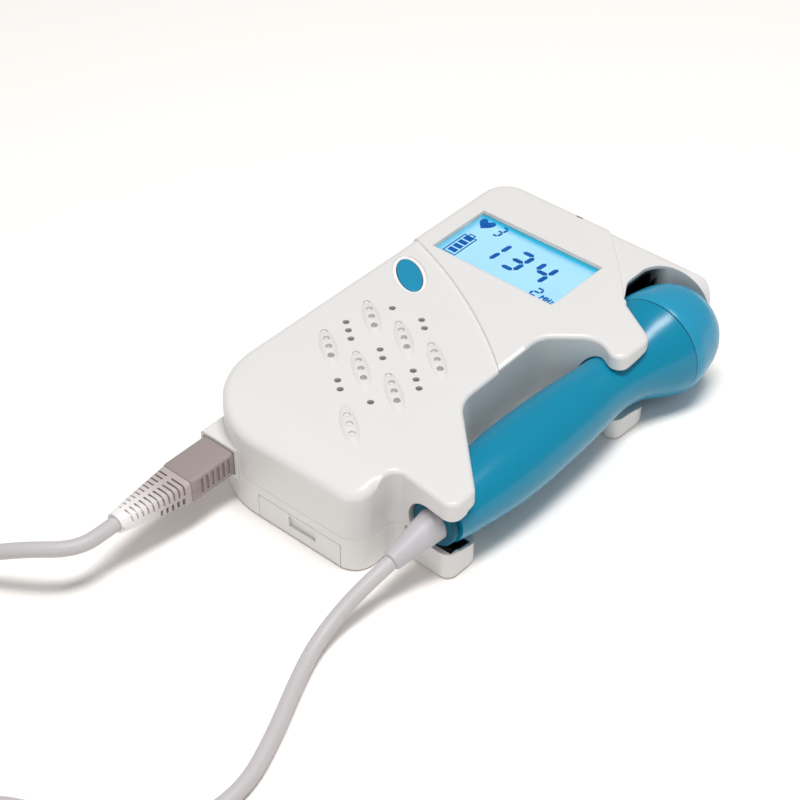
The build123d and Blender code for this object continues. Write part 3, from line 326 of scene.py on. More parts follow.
def box_group():
    """Another colour inside a box, fading out over a soft margin round it: used for painted shade
    and painted light.
    """
    group, source, sink, place = new_group(
        "Colour in a box",
        [("Colour", COLOUR, GREY), ("Inside", COLOUR, GREY), ("Middle", VECTOR, (0.0, 0.0, 0.0)),
         ("Half size", VECTOR, (1.0, 1.0, 1.0)), ("Margin", VECTOR, (0.001, 0.001, 0.001))],
        [("Colour", COLOUR)],
    )
    beyond = place
    for operation, other in (
        ("SUBTRACT", "Middle"), ("ABSOLUTE", None), ("SUBTRACT", "Half size"), ("DIVIDE", "Margin"),
    ):
        step = add(group, "ShaderNodeVectorMath", operation=operation)
        wire(group, (beyond, step.inputs[0]))
        if other:
            wire(group, (source[other], step.inputs[1]))
        beyond = step.outputs[0]
    across, along, up = split(group, beyond)
    widest = maths(group, "MAXIMUM", maths(group, "MAXIMUM", across, along), up)
    soft = add(group, "ShaderNodeMapRange", interpolation_type="SMOOTHSTEP")
    soft.inputs["To Min"].default_value = 1.0
    soft.inputs["To Max"].default_value = 0.0
    wire(group, (widest, soft.inputs["Value"]))
    tone = blend_colours(group, soft.outputs["Result"], source["Colour"], source["Inside"])
    wire(group, (tone, sink["Colour"]))
    return group


def fade_group():
    """A colour that turns into another along Y, between two places."""
    group, source, sink, place = new_group(
        "Fade along the boot",
        [("Near colour", COLOUR, GREY), ("Far colour", COLOUR, GREY), ("Start", VALUE, 0.0),
         ("End", VALUE, 1.0)],
        [("Colour", COLOUR)],
    )
    _, along, _ = split(group, place)
    spread = add(group, "ShaderNodeMapRange", interpolation_type="SMOOTHSTEP")
    wire(
        group,
        (along, spread.inputs["Value"]),
        (source["Start"], spread.inputs["From Min"]),
        (source["End"], spread.inputs["From Max"]),
    )
    tone = blend_colours(
        group, spread.outputs["Result"], source["Far colour"], source["Near colour"])
    wire(group, (tone, sink["Colour"]))
    return group


# ---------- materials

GROUPS = {}
FINISHES = {}
GRAIN_DEPTH = 0.02 * MM
WEAVE_DEPTH = 0.1 * MM
COVER = {"Colour": "Base Color", "Roughness": "Roughness"}
GLOW_INSET, GLOW_REACH = 1.2 * MM, 2.8 * MM  # the deep colour's edge in the window, and its fade
# the boot's colour fades to a painted highlight between these
BOOT_HIGHLIGHT_Y, BOOT_DARK_Y = -36.0, -17.0  # the boot's colour fades between these
CAP_SKIRT = 3.0  # the length of the cap that is inside the handle
# painted shade at the cap's seam reaches this far each side of it
SEAM_SHADE_NEAR, SEAM_SHADE_FAR = 0.4, 0.14  # the dark line's reach, each side of the cap's seam
EDGE_SOFTENING = 0.5 * MM
# near black: painted shade for the deep hollows of the shells
PAINTED_SHADE = (0.004, 0.004, 0.005)
# near white: painted light where walls of the shells stand in shade
PAINTED_LIGHT = (1.0, 0.98, 0.96)
SHELL_PAINTED_LIGHT_AND_SHADE = (
    # low corner, high corner, soft margins and colour, in turn: painted shade in the niche beside
    # the probe's head and in the foot under its tail, painted light on the walls round the window
    # and on the rise of the display's panel in four lengths, and a painted highlight in the shallow
    # dish round the button
    ((50.0, 111.0, 1.0), (60.8, 132.0, 27.8), (5.0, 1.0, 0.7), PAINTED_SHADE),
    ((65.6, 15.9, 2.2), (79.8, 23.5, 9.6), (0.3, 0.3, 0.4), PAINTED_SHADE),
    # painted light: the window's walls, which stand in shade, painted paler
    ((7.3, 93.2, 28.6), (51.6, 117.3, 29.6), (0.2, 0.2, 0.3), (0.97, 0.93, 0.87)),
    # painted light on the rise of the display's panel, so that its shaded wall draws no dark line
    ((2.6, 72.5, 29.28), (43.2, 93.0, 29.9), (0.5, 0.5, 0.06), PAINTED_LIGHT),
    ((42.7, 57.0, 29.28), (58.5, 73.5, 29.9), (0.5, 0.5, 0.06), PAINTED_LIGHT),
    ((53.0, 109.0, 29.28), (66.0, 119.5, 29.9), (0.5, 0.5, 0.06), PAINTED_LIGHT),
    ((36.0, 118.8, 29.28), (61.0, 131.6, 29.9), (0.5, 0.5, 0.06), PAINTED_LIGHT),
    # a painted highlight: the dish round the button painted paler, for the bright lip the light
    # draws
    ((2.3, 70.5, 28.85), (20.5, 88.0, 29.08), (0.1, 0.3, 0.06), (0.86, 0.85, 0.83)),
)


def opaque(colour):
    """A colour with its alpha."""
    return (*colour, 1.0)


def darker(colour, share):
    """A colour times a share."""
    return [part * share for part in colour]


def start_material(name, group, values, links=COVER, fixed=()):
    """A material: a group set to values feeds its shader's linked sockets, and others are fixed."""
    material = bpy.data.materials.new(name)
    material.use_nodes = True
    tree = material.node_tree
    shader = tree.nodes["Principled BSDF"].inputs
    effect = add(tree, "ShaderNodeGroup", node_tree=GROUPS[group])
    for label, value in values.items():
        effect.inputs[label].default_value = value
    for output, socket in links.items():
        wire(tree, (effect.outputs[output], shader[socket]))
    for socket, value in dict(fixed).items():
        shader[socket].default_value = value
    return material, tree, shader, effect


def add_bump(tree, shader, height, strength, depth=GRAIN_DEPTH):
    """Turns a height into the shader's normal."""
    bump = add(tree, "ShaderNodeBump")
    bump.inputs["Strength"].default_value = strength
    bump.inputs["Distance"].default_value = depth
    wire(tree, (height, bump.inputs["Height"]), (bump.outputs["Normal"], shader["Normal"]))


def plastic(name, colour, shade=None, roughness=0.4, spread=0.08, grain=2500.0, bump=0.10, coat=0.0,
            mottle=60.0, gloss=0.5):
    """Moulded plastic, mottled with a shade that is a little darker unless it is given."""
    material, tree, shader, effect = start_material(name, "moulded", {
        "Colour": opaque(colour), "Shade": opaque(shade or darker(colour, 0.93)),
        "Roughness": roughness, "Roughness spread": spread, "Grain scale": grain,
        "Mottle scale": mottle,
    }, fixed={"Specular IOR Level": gloss})
    if coat:
        shader["Coat Weight"].default_value = coat
        shader["Coat Roughness"].default_value = 0.12
    add_bump(tree, shader, effect.outputs["Height"], bump)
    return material


def metal(name, colour, roughness=0.25):
    """Bare metal with fine lines."""
    material, tree, shader, effect = start_material(name, "brushed", {
        "Colour": opaque(colour), "Dark": opaque(darker(colour, 0.7)), "Roughness": roughness,
    }, fixed={"Metallic": 1.0})
    add_bump(tree, shader, effect.outputs["Height"], 0.15)
    return material


def cloth(name, colour, gap):
    """Plain woven cloth, with the colour seen in the gaps of its weave."""
    material, tree, shader, effect = start_material(
        name, "woven", {"Colour": opaque(colour), "Gap": opaque(gap)},
        links={"Colour": "Base Color"}, fixed={"Roughness": 0.9})
    add_bump(tree, shader, effect.outputs["Height"], 0.6, WEAVE_DEPTH)
    return material


def colour_box(material, low, high, margin, inside):
    """Gives a material another colour inside a box, given by its corners in metres: painted shade
    and painted light.
    """
    tree = material.node_tree
    base = tree.nodes["Principled BSDF"].inputs["Base Color"]
    effect = add(tree, "ShaderNodeGroup", node_tree=GROUPS["box"])
    effect.inputs["Inside"].default_value = opaque(inside)
    effect.inputs["Middle"].default_value = (low + high) / 2
    effect.inputs["Half size"].default_value = (high - low) / 2
    effect.inputs["Margin"].default_value = [share * MM for share in margin]
    wire(
        tree,
        (base.links[0].from_socket, effect.inputs["Colour"]), (effect.outputs["Colour"], base),
    )


def cap_plastic(name, colour, **values):
    """The cap's plastic, with painted shade as a dark line at its seam on the handle."""
    material = plastic(name, colour, **values)
    low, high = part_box("probe_cap")
    seam = low.y + CAP_SKIRT * MM
    # painted shade: a dark band across the seam, where the gap between cap and handle falls in
    # shadow
    colour_box(
        material, Vector((low.x, seam - SEAM_SHADE_NEAR * MM, low.z)),
        Vector((high.x, seam + SEAM_SHADE_FAR * MM, high.z)), (1.0, 0.08, 1.0), (0.0, 0.05, 0.09))
    return material


def shell_plastic(name, colour, **values):
    """The shells' plastic, with painted shade and painted light in boxes, and with softened edges.
    """
    material = plastic(name, colour, **values)
    for low, high, margin, inside in SHELL_PAINTED_LIGHT_AND_SHADE:
        colour_box(material, at(*low), at(*high), margin, inside)
    tree = material.node_tree
    bump = tree.nodes["Principled BSDF"].inputs["Normal"].links[0].from_node
    soft = add(tree, "ShaderNodeBevel", samples=6)
    soft.inputs["Radius"].default_value = EDGE_SOFTENING
    wire(tree, (soft.outputs["Normal"], bump.inputs["Normal"]))
    return material


def clear_window(name):
    """The display's clear window: glass with a trace of unevenness in its gloss."""
    return start_material(name, "moulded", {
        "Colour": WHITE, "Shade": (0.97, 0.99, 1.0, 1.0), "Roughness": 0.001,
        "Roughness spread": 0.002,
    }, fixed={"Transmission Weight": 1.0, "IOR": 1.14})[0]


def lit_ground(name, settings):
    """The display's ground, lit from behind."""
    low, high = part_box("lcd_window")
    return start_material(name, "glow", {
        "Lit": opaque(settings.lit), "Deep": opaque(settings.deep),
        "Far edge": high.y - GLOW_INSET, "Left edge": low.x + GLOW_INSET, "Reach": GLOW_REACH,
    }, links={"Dim": "Base Color", "Colour": "Emission Color"}, fixed={
        "Emission Strength": settings.strength, "Roughness": 0.3, "Specular IOR Level": 0.0,
    })[0]


def lit_ink(name, settings):
    """The dark segments glow in their own colour: some light from behind, and painted light for the
    room light the window keeps off.
    """
    material, tree, shader, effect = start_material(name, "moulded", {
        "Colour": opaque(settings.ink), "Shade": opaque(darker(settings.ink, 0.8)),
        "Mottle scale": 400.0,
    }, links={"Colour": "Base Color"}, fixed={
        "Emission Strength": settings.strength, "Specular IOR Level": 0.0,
    })
    # painted light: the segments glow in their own colour
    wire(tree, (effect.outputs["Colour"], shader["Emission Color"]))
    return material


def boot_rubber(name, settings):
    """The boot's soft plastic, which pales towards its thin end in a painted highlight."""
    material, tree, shader, _ = start_material(name, "fade", {
        "Near colour": opaque(settings.boot_colour), "Far colour": opaque(settings.boot_tip_highlight),
        "Start": at(0, BOOT_HIGHLIGHT_Y, 0).y, "End": at(0, BOOT_DARK_Y, 0).y,
    }, links={"Colour": "Base Color"})
    grain = add(tree, "ShaderNodeGroup", node_tree=GROUPS["moulded"])
    grain.inputs["Grain scale"].default_value = 3000.0
    grain.inputs["Roughness"].default_value = 0.55
    wire(tree, (grain.outputs["Roughness"], shader["Roughness"]))
    add_bump(tree, shader, grain.outputs["Height"], 0.2)
    return material


def make_finishes(scene):
    """All groups and materials, named for what they cover."""
    case, probe = scene.doppler_case, scene.doppler_probe
    cord, display = scene.doppler_cord, scene.doppler_display
    GROUPS.update(
        moulded=moulded_group(), brushed=brushed_group(), woven=woven_group(), glow=glow_group(),
        fade=fade_group(), box=box_group(),
    )
    white = dict(
        shade=case.shade, roughness=case.roughness, spread=0.10, grain=1400.0, bump=0.06)
    blue = dict(grain=1800.0, bump=0.05, gloss=probe.gloss)
    FINISHES.update({
        "shell_white": shell_plastic("Case white", case.colour, **white),
        "shell_lower": shell_plastic("Case white lower", darker(case.colour, 0.985), **white),
        "door_white": plastic("Door white", darker(case.colour, 0.99), **white),
        "handle_blue": plastic("Handle blue", probe.handle, roughness=0.24, spread=0.06, **blue),
        "cap_blue": cap_plastic("Cap blue", probe.cap, roughness=0.26, spread=0.06, **blue),
        # painted shade: the collar is the handle's blue darkened, for the shadow it sits in under
        # the tail arm
        "collar_blue": plastic(
            "Collar blue", darker(probe.handle, 0.42), roughness=0.5, grain=1800.0, bump=0.05,
            gloss=0.2),
        "button_blue": plastic("Button blue", case.button_colour, roughness=0.42, **blue),
        "plug_grey": plastic(
            "Plug grey", cord.plug_colour, roughness=0.55, grain=3000.0, bump=0.25),
        "boot_grey": boot_rubber("Boot grey", cord),
        "cord_grey": plastic("Cord grey", cord.colour, roughness=0.48, grain=3000.0, bump=0.12),
        "sleeve_grey": plastic("Sleeve grey", cord.sleeve_colour, roughness=0.45, grain=3000.0),
        "window_clear": clear_window("Window clear"),
        "display_glass": lit_ground("Lit ground", display),
        "segments": lit_ink("Segments", display),
        "backlight": plastic("Backlight sheet", (0.80, 0.90, 0.95), roughness=0.5),
        "bracket_white": plastic("Bracket white", (0.70, 0.70, 0.69), roughness=0.5),
        "connector_strip": plastic(
            "Connector strip", (0.62, 0.42, 0.50), roughness=0.6, grain=5000.0, bump=0.3),
        "board_green": plastic(
            "Board green", (0.02, 0.17, 0.07), roughness=0.35, mottle=500.0, bump=0.2),
        "chip_black": plastic("Chip black", (0.02, 0.02, 0.022), roughness=0.55, bump=0.2),
        "can_aluminium": metal("Can aluminium", (0.75, 0.76, 0.78)),
        "steel": metal("Screw steel", (0.58, 0.59, 0.61), roughness=0.3),
        "nickel": metal("Nickel", (0.74, 0.72, 0.68), roughness=0.2),
        "gold": metal("Pin gold", (0.85, 0.60, 0.24), roughness=0.18),
        "socket_black": plastic("Socket black", (0.03, 0.03, 0.033), roughness=0.5),
        "cell_sleeve": plastic(
            "Cell sleeve", (0.07, 0.15, 0.24), roughness=0.25, coat=0.5, mottle=200.0),
        "cloth_dark": cloth("Grille cloth", (0.035, 0.032, 0.030), (0.012, 0.011, 0.011)),
        "cone_paper": plastic(
            "Cone paper", (0.06, 0.06, 0.06), roughness=0.9, bump=0.5, grain=1500.0),
        "magnet_steel": metal("Magnet steel", (0.40, 0.41, 0.42), roughness=0.4),
        "ceramic_white": plastic("Crystal ceramic", (0.78, 0.75, 0.68), roughness=0.5),
        "face_resin": plastic("Face resin", (0.72, 0.68, 0.58), roughness=0.35),
        "backing_grey": plastic("Backing grey", (0.10, 0.10, 0.11), roughness=0.7),
        "seal_rubber": plastic("Seal rubber", (0.02, 0.02, 0.02), roughness=0.6),
        "lens_dark": plastic("Lens dark", (0.05, 0.05, 0.055), roughness=0.15),
        "tie_black": plastic(
            "Tie black", (0.025, 0.025, 0.027), roughness=0.6, grain=4000.0, bump=0.3),
    })


def dress_nodes():
    """Gives every CAD node the material of its slot in the record."""
    for part in frame["record"]["subparts"]:
        piece = frame["nodes"][part["node"]]
        finish = FINISHES[part["material_slot"]]
        if not piece.material_slots:
            piece.data.materials.append(finish)
        for holder in piece.material_slots:
            holder.material = finish


# ---------- mesh helpers, where a solid is a pair: its vertices and its faces

def new_object(name, data):
    """A new object in the scene with this data."""
    thing = bpy.data.objects.new(name, data)
    bpy.context.scene.collection.objects.link(thing)
    return thing


def closed_mesh(name, solid, weld=0.0):
    """A mesh of a solid with its faces turned outwards, and near vertices joined."""
    vertices, faces = solid
    mesh = bpy.data.meshes.new(name)
    mesh.from_pydata([tuple(vertex) for vertex in vertices], [], faces)
    mesh.validate()
    work = bmesh.new()
    work.from_mesh(mesh)
    if weld:
        bmesh.ops.remove_doubles(work, verts=work.verts, dist=weld)
    bmesh.ops.recalc_face_normals(work, faces=work.faces)
    work.to_mesh(mesh)
    work.free()
    return mesh


def join(solids):
    """Several solids as one."""
    vertices, faces = [], []
    for points, walls in solids:
        first = len(vertices)
        vertices += points
        faces += [tuple(first + i for i in wall) for wall in walls]
    return vertices, faces


def smooth(mesh, sharp):
    """Shades a mesh smooth, apart from edges that turn by more than sharp degrees."""
    mesh.shade_smooth()
    mesh.set_sharp_from_angle(angle=math.radians(sharp))


def make_piece(name, solid, finish, body=None, sharp=40.0):
    """A solid as a shaded piece with its material, riding on a body."""
    mesh = closed_mesh(name, solid, weld=1e-7)
    smooth(mesh, sharp)
    mesh.materials.append(FINISHES[finish])
    piece = new_object(name, mesh)
    if body:
        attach(piece, body)
    return piece


def circle(steps):
    """Cosine and sine of evenly spaced angles, once round."""
    for i in range(steps):
        angle = 2 * math.pi * i / steps
        yield math.cos(angle), math.sin(angle)


def loft(rings):
    """The solid through rings of as many points each."""
    count = len(rings[0])
    vertices = [point for ring in rings for point in ring]
    last = (len(rings) - 1) * count
    faces = [tuple(reversed(range(count))), tuple(last + i for i in range(count))]
    for row in range(len(rings) - 1):
        a, b = row * count, (row + 1) * count
        for i in range(count):
            j = (i + 1) % count
            faces.append((a + i, a + j, b + j, b + i))
    return vertices, faces


def tube(points, radius, sides):
    """A capped round tube that follows points."""
    side = (points[1] - points[0]).orthogonal().normalized()
    rings = []
    for index, point in enumerate(points):
        before, after = points[max(index - 1, 0)], points[min(index + 1, len(points) - 1)]
        way = (after - before).normalized()
        side = (side - way * side.dot(way)).normalized()
        up = way.cross(side)
        rings.append([point + side * (radius * c) + up * (radius * s) for c, s in circle(sides)])
    return loft(rings)


def slab(middle, half):
    """A box about a middle, with these half sizes."""
    vertices = [
        at(middle[0] + x * half[0], middle[1] + y * half[1], middle[2] + z * half[2])
        for x in (-1, 1) for y in (-1, 1) for z in (-1, 1)
    ]
    faces = [(0, 1, 3, 2), (4, 6, 7, 5), (0, 4, 5, 1), (2, 3, 7, 6), (0, 2, 6, 4), (1, 5, 7, 3)]
    return vertices, faces


PLUG_SHARP = 32.0  # faces of the plug that turn by more degrees than this meet sharply


def carve(piece, cutters):
    """Cuts solids out of a piece."""
    knife = new_object("cutter", closed_mesh("cutter", join(cutters)))
    cut = piece.modifiers.new("Cut", "BOOLEAN")
    cut.operation = "DIFFERENCE"
    cut.solver = "EXACT"
    cut.use_self = True
    cut.object = knife
    bpy.context.view_layer.update()
    graph = bpy.context.evaluated_depsgraph_get()
    made = bpy.data.meshes.new_from_object(piece.evaluated_get(graph))
    piece.modifiers.clear()
    whole, cutter, piece.data = piece.data, knife.data, made
    bpy.data.objects.remove(knife)
    for mesh in (whole, cutter):
        bpy.data.meshes.remove(mesh)
    made.validate()
    smooth(made, PLUG_SHARP)


# ---------- cord

BOOT_X, BOOT_END, BOOT_Z = 12.2, -37.0, 15.3  # where the cord leaves the plug's boot
COIL_X, COIL_Y = 9.0, -118.0
COIL_RADIUS = 27.7
COIL_TURNED, COIL_STEP = 1545, 15  # degrees that the coil turns in all, and between its points
LAYER_LOW, LAYER_HIGH = 2.15, 5.85  # heights of the coil's two layers
HUMP = 6.5  # height at which the cord climbs over another turn
RADIUS_CHANGES = (
    # change in millimetres, and the degrees between which it happens
    (-4.2, 325, 362), (-4.2, 685, 722), (-0.7, 1005, 1025), (0.7, 1028, 1050), (2.1, 1030, 1062),
    (4.2, 1348, 1385),
)
HEIGHT_CHANGES = (
    (HUMP - LAYER_LOW, 1008, 1040), (LAYER_HIGH - HUMP, 1085, 1115),
    (HUMP - LAYER_HIGH, 1335, 1355), (LAYER_HIGH - HUMP, 1445, 1475),
)
PLUG_SIDE = (
    (BOOT_X, -31.0, BOOT_Z), (BOOT_X, -38.0, BOOT_Z), (BOOT_X, -49.6, BOOT_Z),
    (1.0, -58.2, 14.6), (-11.4, -65.2, 9.8), (-18.8, -77.5, 3.9), (-20.4, -91.0, 2.25),
    (-19.4, -102.5, LAYER_LOW), (-18.7, -112.0, LAYER_LOW),
)
PROBE_SIDE = (
    (24.6, -139.2, 6.3), (30.6, -134.4, 6.6), (36.0, -128.4, 5.2), (40.6, -121.6, 3.3),
    (44.0, -114.6, LAYER_LOW), (50.4, -108.2, LAYER_LOW), (61.6, -103.2, LAYER_LOW),
    (76.0, -97.6, LAYER_LOW), (87.4, -86.0, LAYER_LOW), (89.2, -69.0, LAYER_LOW),
    (83.2, -53.0, LAYER_LOW), (76.0, -38.0, LAYER_LOW), (71.6, -27.0, 2.7), (70.6, -17.6, 5.6),
)
SLEEVE_TIP, SLEEVE_ROOT = Vector((72.5, 1.2, 12.3)), Vector((74.2, 15.6, 16.2))
LINE_STEPS = 6  # points of the cord's line from one point of its route to the next


def ease(value, low, high):
    """Goes smoothly from 0 to 1 while a value goes from low to high."""
    t = min(max((value - low) / (high - low), 0.0), 1.0)
    return t * t * (3 - 2 * t)


def coil_points():
    """The coil's points, from its left side."""
    made = []
    for turned in range(COIL_STEP, COIL_TURNED + 1, COIL_STEP):
        radius, height = (
            start + sum(change * ease(turned, low, high) for change, low, high in changes)
            for start, changes in ((COIL_RADIUS, RADIUS_CHANGES), (LAYER_LOW, HEIGHT_CHANGES))
        )
        angle = math.radians(180.0 + turned)
        made.append((
            COIL_X + radius * math.cos(angle), COIL_Y + radius * math.sin(angle), height))
    return made


def cord_route():
    """From inside the plug's boot, by the coil, to inside the probe's sleeve."""
    way = SLEEVE_TIP - SLEEVE_ROOT
    sleeve = [tuple(SLEEVE_TIP + way * 0.62), tuple(SLEEVE_TIP - way * 0.05)]
    return [*PLUG_SIDE, *coil_points(), *PROBE_SIDE, *sleeve]


def nurbs_line(name, points, resolution):
    """Points read from a NURBS spline that has these points as its control points."""
    curve = bpy.data.curves.new(name, "CURVE")
    curve.dimensions = "3D"
    curve.resolution_u = resolution
    spline = curve.splines.new("NURBS")
    spline.points.add(len(points) - 1)
    for holder, point in zip(spline.points, points):
        holder.co = (*at(*point), 1.0)
    spline.order_u = 3
    spline.use_endpoint_u = True
    carrier = new_object(name, curve)
    bpy.context.view_layer.update()
    mesh = bpy.data.meshes.new_from_object(carrier)
    line = [vertex.co.copy() for vertex in mesh.vertices]
    bpy.data.objects.remove(carrier)
    bpy.data.meshes.remove(mesh)
    bpy.data.curves.remove(curve)
    return line


class DOPPLER_OT_cord(bpy.types.Operator):
    """Lay the cord from the plug, round its coil, to the probe"""
    bl_idname = "doppler.cord"
    bl_label = "Cord"

    def execute(self, context):
        settings = context.scene.doppler_cord
        line = nurbs_line("cord_line", cord_route(), LINE_STEPS)
        solid = tube(line, settings.diameter / 2, settings.sides)
        cord = make_piece("cord", solid, "cord_grey", sharp=60.0)
        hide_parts("cord_probe_run", "cord_plug_run", "cord_coil")
        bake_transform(cord)
        return {"FINISHED"}


# ---------- display

INK_LOW, INK_HIGH = 27.37, 27.41
SLANT = 0.09
THIN = 0.48  # the bars of the unit's letters
NUB_INSET, NUB_HEIGHT = 1.3, 1.1  # the battery sign's nub
CHARGE_INSET, CHARGE_FOOT, CHARGE_PITCH, CHARGE_HEIGHT = 0.95, 1.15, 2.35, 1.75
DIGIT_BARS = {"2": "abged", "3": "abgcd", "4": "fgbc"}


def stroke(start, end, width, pointed=True):
    """A bar between two points, with pointed or square ends."""
    (x0, y0), (x1, y1) = start, end
    length = math.hypot(x1 - x0, y1 - y0)
    ux, uy = (x1 - x0) / length, (y1 - y0) / length
    h = width / 2
    cut = h if pointed else 0.0
    bar = [
        (x0 + ux * cut - uy * h, y0 + uy * cut + ux * h), (x0, y0),
        (x0 + ux * cut + uy * h, y0 + uy * cut - ux * h),
        (x1 - ux * cut + uy * h, y1 - uy * cut - ux * h), (x1, y1),
        (x1 - ux * cut - uy * h, y1 - uy * cut + ux * h),
    ]
    return bar if pointed else [bar[0], bar[2], bar[3], bar[5]]


def plate(left, low, right, high):
    """The outline of an upright rectangle."""
    return [(left, low), (right, low), (right, high), (left, high)]


def leaning(shapes, foot):
    """Outlines that lean to the right above their foot."""
    return [[(x + SLANT * (y - foot), y) for x, y in shape] for shape in shapes]


def digit(figure, x, y, width, height, thick):
    """The lit bars of a seven-bar figure whose corner is at x, y."""
    h = thick / 2
    left, right, low, high, middle = x + h, x + width - h, y + h, y + height - h, y + height / 2
    gap = thick * 0.16
    bars = {
        "a": ((left + gap, high), (right - gap, high)),
        "b": ((right, high - gap), (right, middle + gap)),
        "c": ((right, middle - gap), (right, low + gap)),
        "d": ((left + gap, low), (right - gap, low)),
        "e": ((left, middle - gap), (left, low + gap)),
        "f": ((left, high - gap), (left, middle + gap)),
        "g": ((left + gap, middle), (right - gap, middle)),
    }
    return leaning([stroke(*bars[bar], thick) for bar in DIGIT_BARS[figure]], y)


def heart(x, y, width, height, steps=48):
    """A heart's outline about x, y."""
    points = []
    for i in range(steps):
        t = 2 * math.pi * i / steps
        across = math.sin(t) * abs(math.sin(t)) ** 1.1
        waves = 13 * math.cos(t) - 5 * math.cos(2 * t) - 2 * math.cos(3 * t) - math.cos(4 * t)
        points.append((x + across * width / 2, y + (waves / 29.0 + 0.09) * height))
    return points


def frequency_letters(x, y, height):
    """The unit beside the small figure, in thin bars."""
    top, wide, narrow = y + height, 1.35, 0.95
    dip = (x + wide / 2, y + height * 0.45)
    bars = [
        ((x, y), (x, top)), ((x + wide, y), (x + wide, top)), ((x, top), dip),
        ((x + wide, top), dip),
    ]
    x += wide + 0.62
    bars += [
        ((x, y), (x, top)), ((x + narrow, y), (x + narrow, top)),
        ((x, y + height / 2), (x + narrow, y + height / 2)),
    ]
    x += 1.5
    low, mid = y + 0.18, y + height * 0.68
    shapes = [stroke(start, end, THIN, False) for start, end in bars]
    shapes += [
        stroke((x, mid), (x + 0.8, mid), 0.36, False),
        stroke((x, low), (x + 0.8, low), 0.36, False),
        stroke((x + 0.7, mid), (x + 0.1, low), 0.34, False),
    ]
    return leaning(shapes, y)


def battery_sign(x, y, width, height, thin, charge):
    """An upright cell with its nub and the bars of its charge."""
    right, top = x + width, y + height
    nub_left, nub_right, nub_top = x + NUB_INSET, right - NUB_INSET, top + NUB_HEIGHT
    shapes = [
        plate(x, y, x + thin, top), plate(right - thin, y, right, top),
        plate(x + thin, y, right - thin, y + thin), plate(x + thin, top - thin, right - thin, top),
        plate(nub_left, top, nub_left + thin, nub_top),
        plate(nub_right - thin, top, nub_right, nub_top),
        plate(nub_left + thin, nub_top - thin, nub_right - thin, nub_top),
    ]
    for index in range(charge):
        low = y + CHARGE_FOOT + CHARGE_PITCH * index
        shapes.append(plate(x + CHARGE_INSET, low, right - CHARGE_INSET, low + CHARGE_HEIGHT))
    return shapes


class DOPPLER_OT_display(bpy.types.Operator):
    """Make the display's dark segments and signs"""
    bl_idname = "doppler.display"
    bl_label = "Display segments"

    def execute(self, context):
        shapes = [heart(10.6, 114.2, 5.2, 4.9)]
        shapes += digit("3", 14.7, 111.4, 2.6, 5.6, 0.75)
        shapes += battery_sign(8.85, 96.2, 4.8, 10.4, 0.42, 4)
        shapes += leaning([
            stroke((22.3, 110.8), (22.3, 106.55), 1.45),
            stroke((22.3, 105.85), (22.3, 101.6), 1.45),
        ], 101.6)
        shapes += digit("3", 25.7, 100.8, 6.0, 10.7, 1.55)
        shapes += digit("4", 34.6, 100.8, 5.9, 10.7, 1.55)
        shapes += digit("2", 40.8, 95.7, 2.95, 4.5, 0.72)
        shapes += frequency_letters(44.8, 95.8, 2.15)
        solid = join(
            loft([[at(x, y, z) for x, y in shape] for z in (INK_LOW, INK_HIGH)])
            for shape in shapes
        )
        make_piece("display_segments", solid, "segments", body="case",
                   sharp=20.0)
        return {"FINISHED"}


# ---------- button

BUTTON_X, BUTTON_Y = 11.1, 79.1
BUTTON_TURN = math.radians(-37.5)
BUTTON_STATIONS = (
    # height, long half width and short half width
    (26.3, 8.68, 4.18), (27.08, 8.68, 4.18), (27.1, 7.88, 3.38), (28.86, 7.88, 3.38),
    (28.97, 7.84, 3.34), (29.05, 7.74, 3.24), (29.11, 7.56, 3.08), (29.17, 7.1, 2.75),
    (29.24, 6.2, 2.3), (29.30, 4.8, 1.75), (29.345, 3.0, 1.1), (29.365, 1.4, 0.5),
)


def button_point(across, along, z):
    """A point of the button, given along its short and its long half width."""
    cos, sin = math.cos(BUTTON_TURN), math.sin(BUTTON_TURN)
    return at(BUTTON_X + along * cos - across * sin, BUTTON_Y + along * sin + across * cos, z)


class DOPPLER_OT_button(bpy.types.Operator):
    """Make the oval power button with its softly domed face"""
    bl_idname = "doppler.button"
    bl_label = "Power button"

    def execute(self, context):
        solid = loft([
            [button_point(short * s, long * c, z) for c, s in circle(96)]
            for z, long, short in BUTTON_STATIONS
        ])
        button = make_piece("button_face", solid, "button_blue", body="power_button")
        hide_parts("power_button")
        return {"FINISHED"}


# ---------- plug

PLUG_RIGHT, PLUG_LEFT = 18.0, 6.9
PLUG_LOW, PLUG_TOP = 10.3, 18.0
PLUG_FACE = 5.95  # the far end of the housing, in the case's socket
SEAM_HALF, SEAM_DENT = 0.12, 0.12  # the fine line let into the housing's sides
HOUSING_STATIONS = (
    # place along Y, and how much narrower and lower the housing is there
    (-15.5, 0.75), (-15.3, 0.35), (-14.9, 0.1), (-14.4, 0.0), (-1.2, 0.0), (-0.3, 0.0),
    (PLUG_FACE, 0.0),
)
BOOT_STATIONS = (
    # place along Y, the boot's middle in X and Z, and its half sizes
    (-15.5, 12.45, 14.15, 5.35, 3.65), (-27.3, 12.32, 14.7, 4.1, 3.3),
    (BOOT_END, BOOT_X, BOOT_Z, 2.9, 2.9),
)
BOOT_STEPS = 24
GRIPS, GRIP_FIRST, GRIP_PITCH = 6, -2.0, 1.95  # grooves in the housing's sides
CONTACTS, CONTACT_PITCH = 5, 2.0  # openings for the contacts
SLITS, SLIT_FIRST, SLIT_PITCH = 11, -17.6, 1.62  # slits in the boot's upper edges
NOTCHES, NOTCH_FIRST, NOTCH_PITCH = 5, -18.0, 1.75  # notches low in the boot's sides
BORE_RADIUS, BORE_FAR, BORE_NEAR = 2.19, -22.2, -38.0  # the cord's bore in the boot


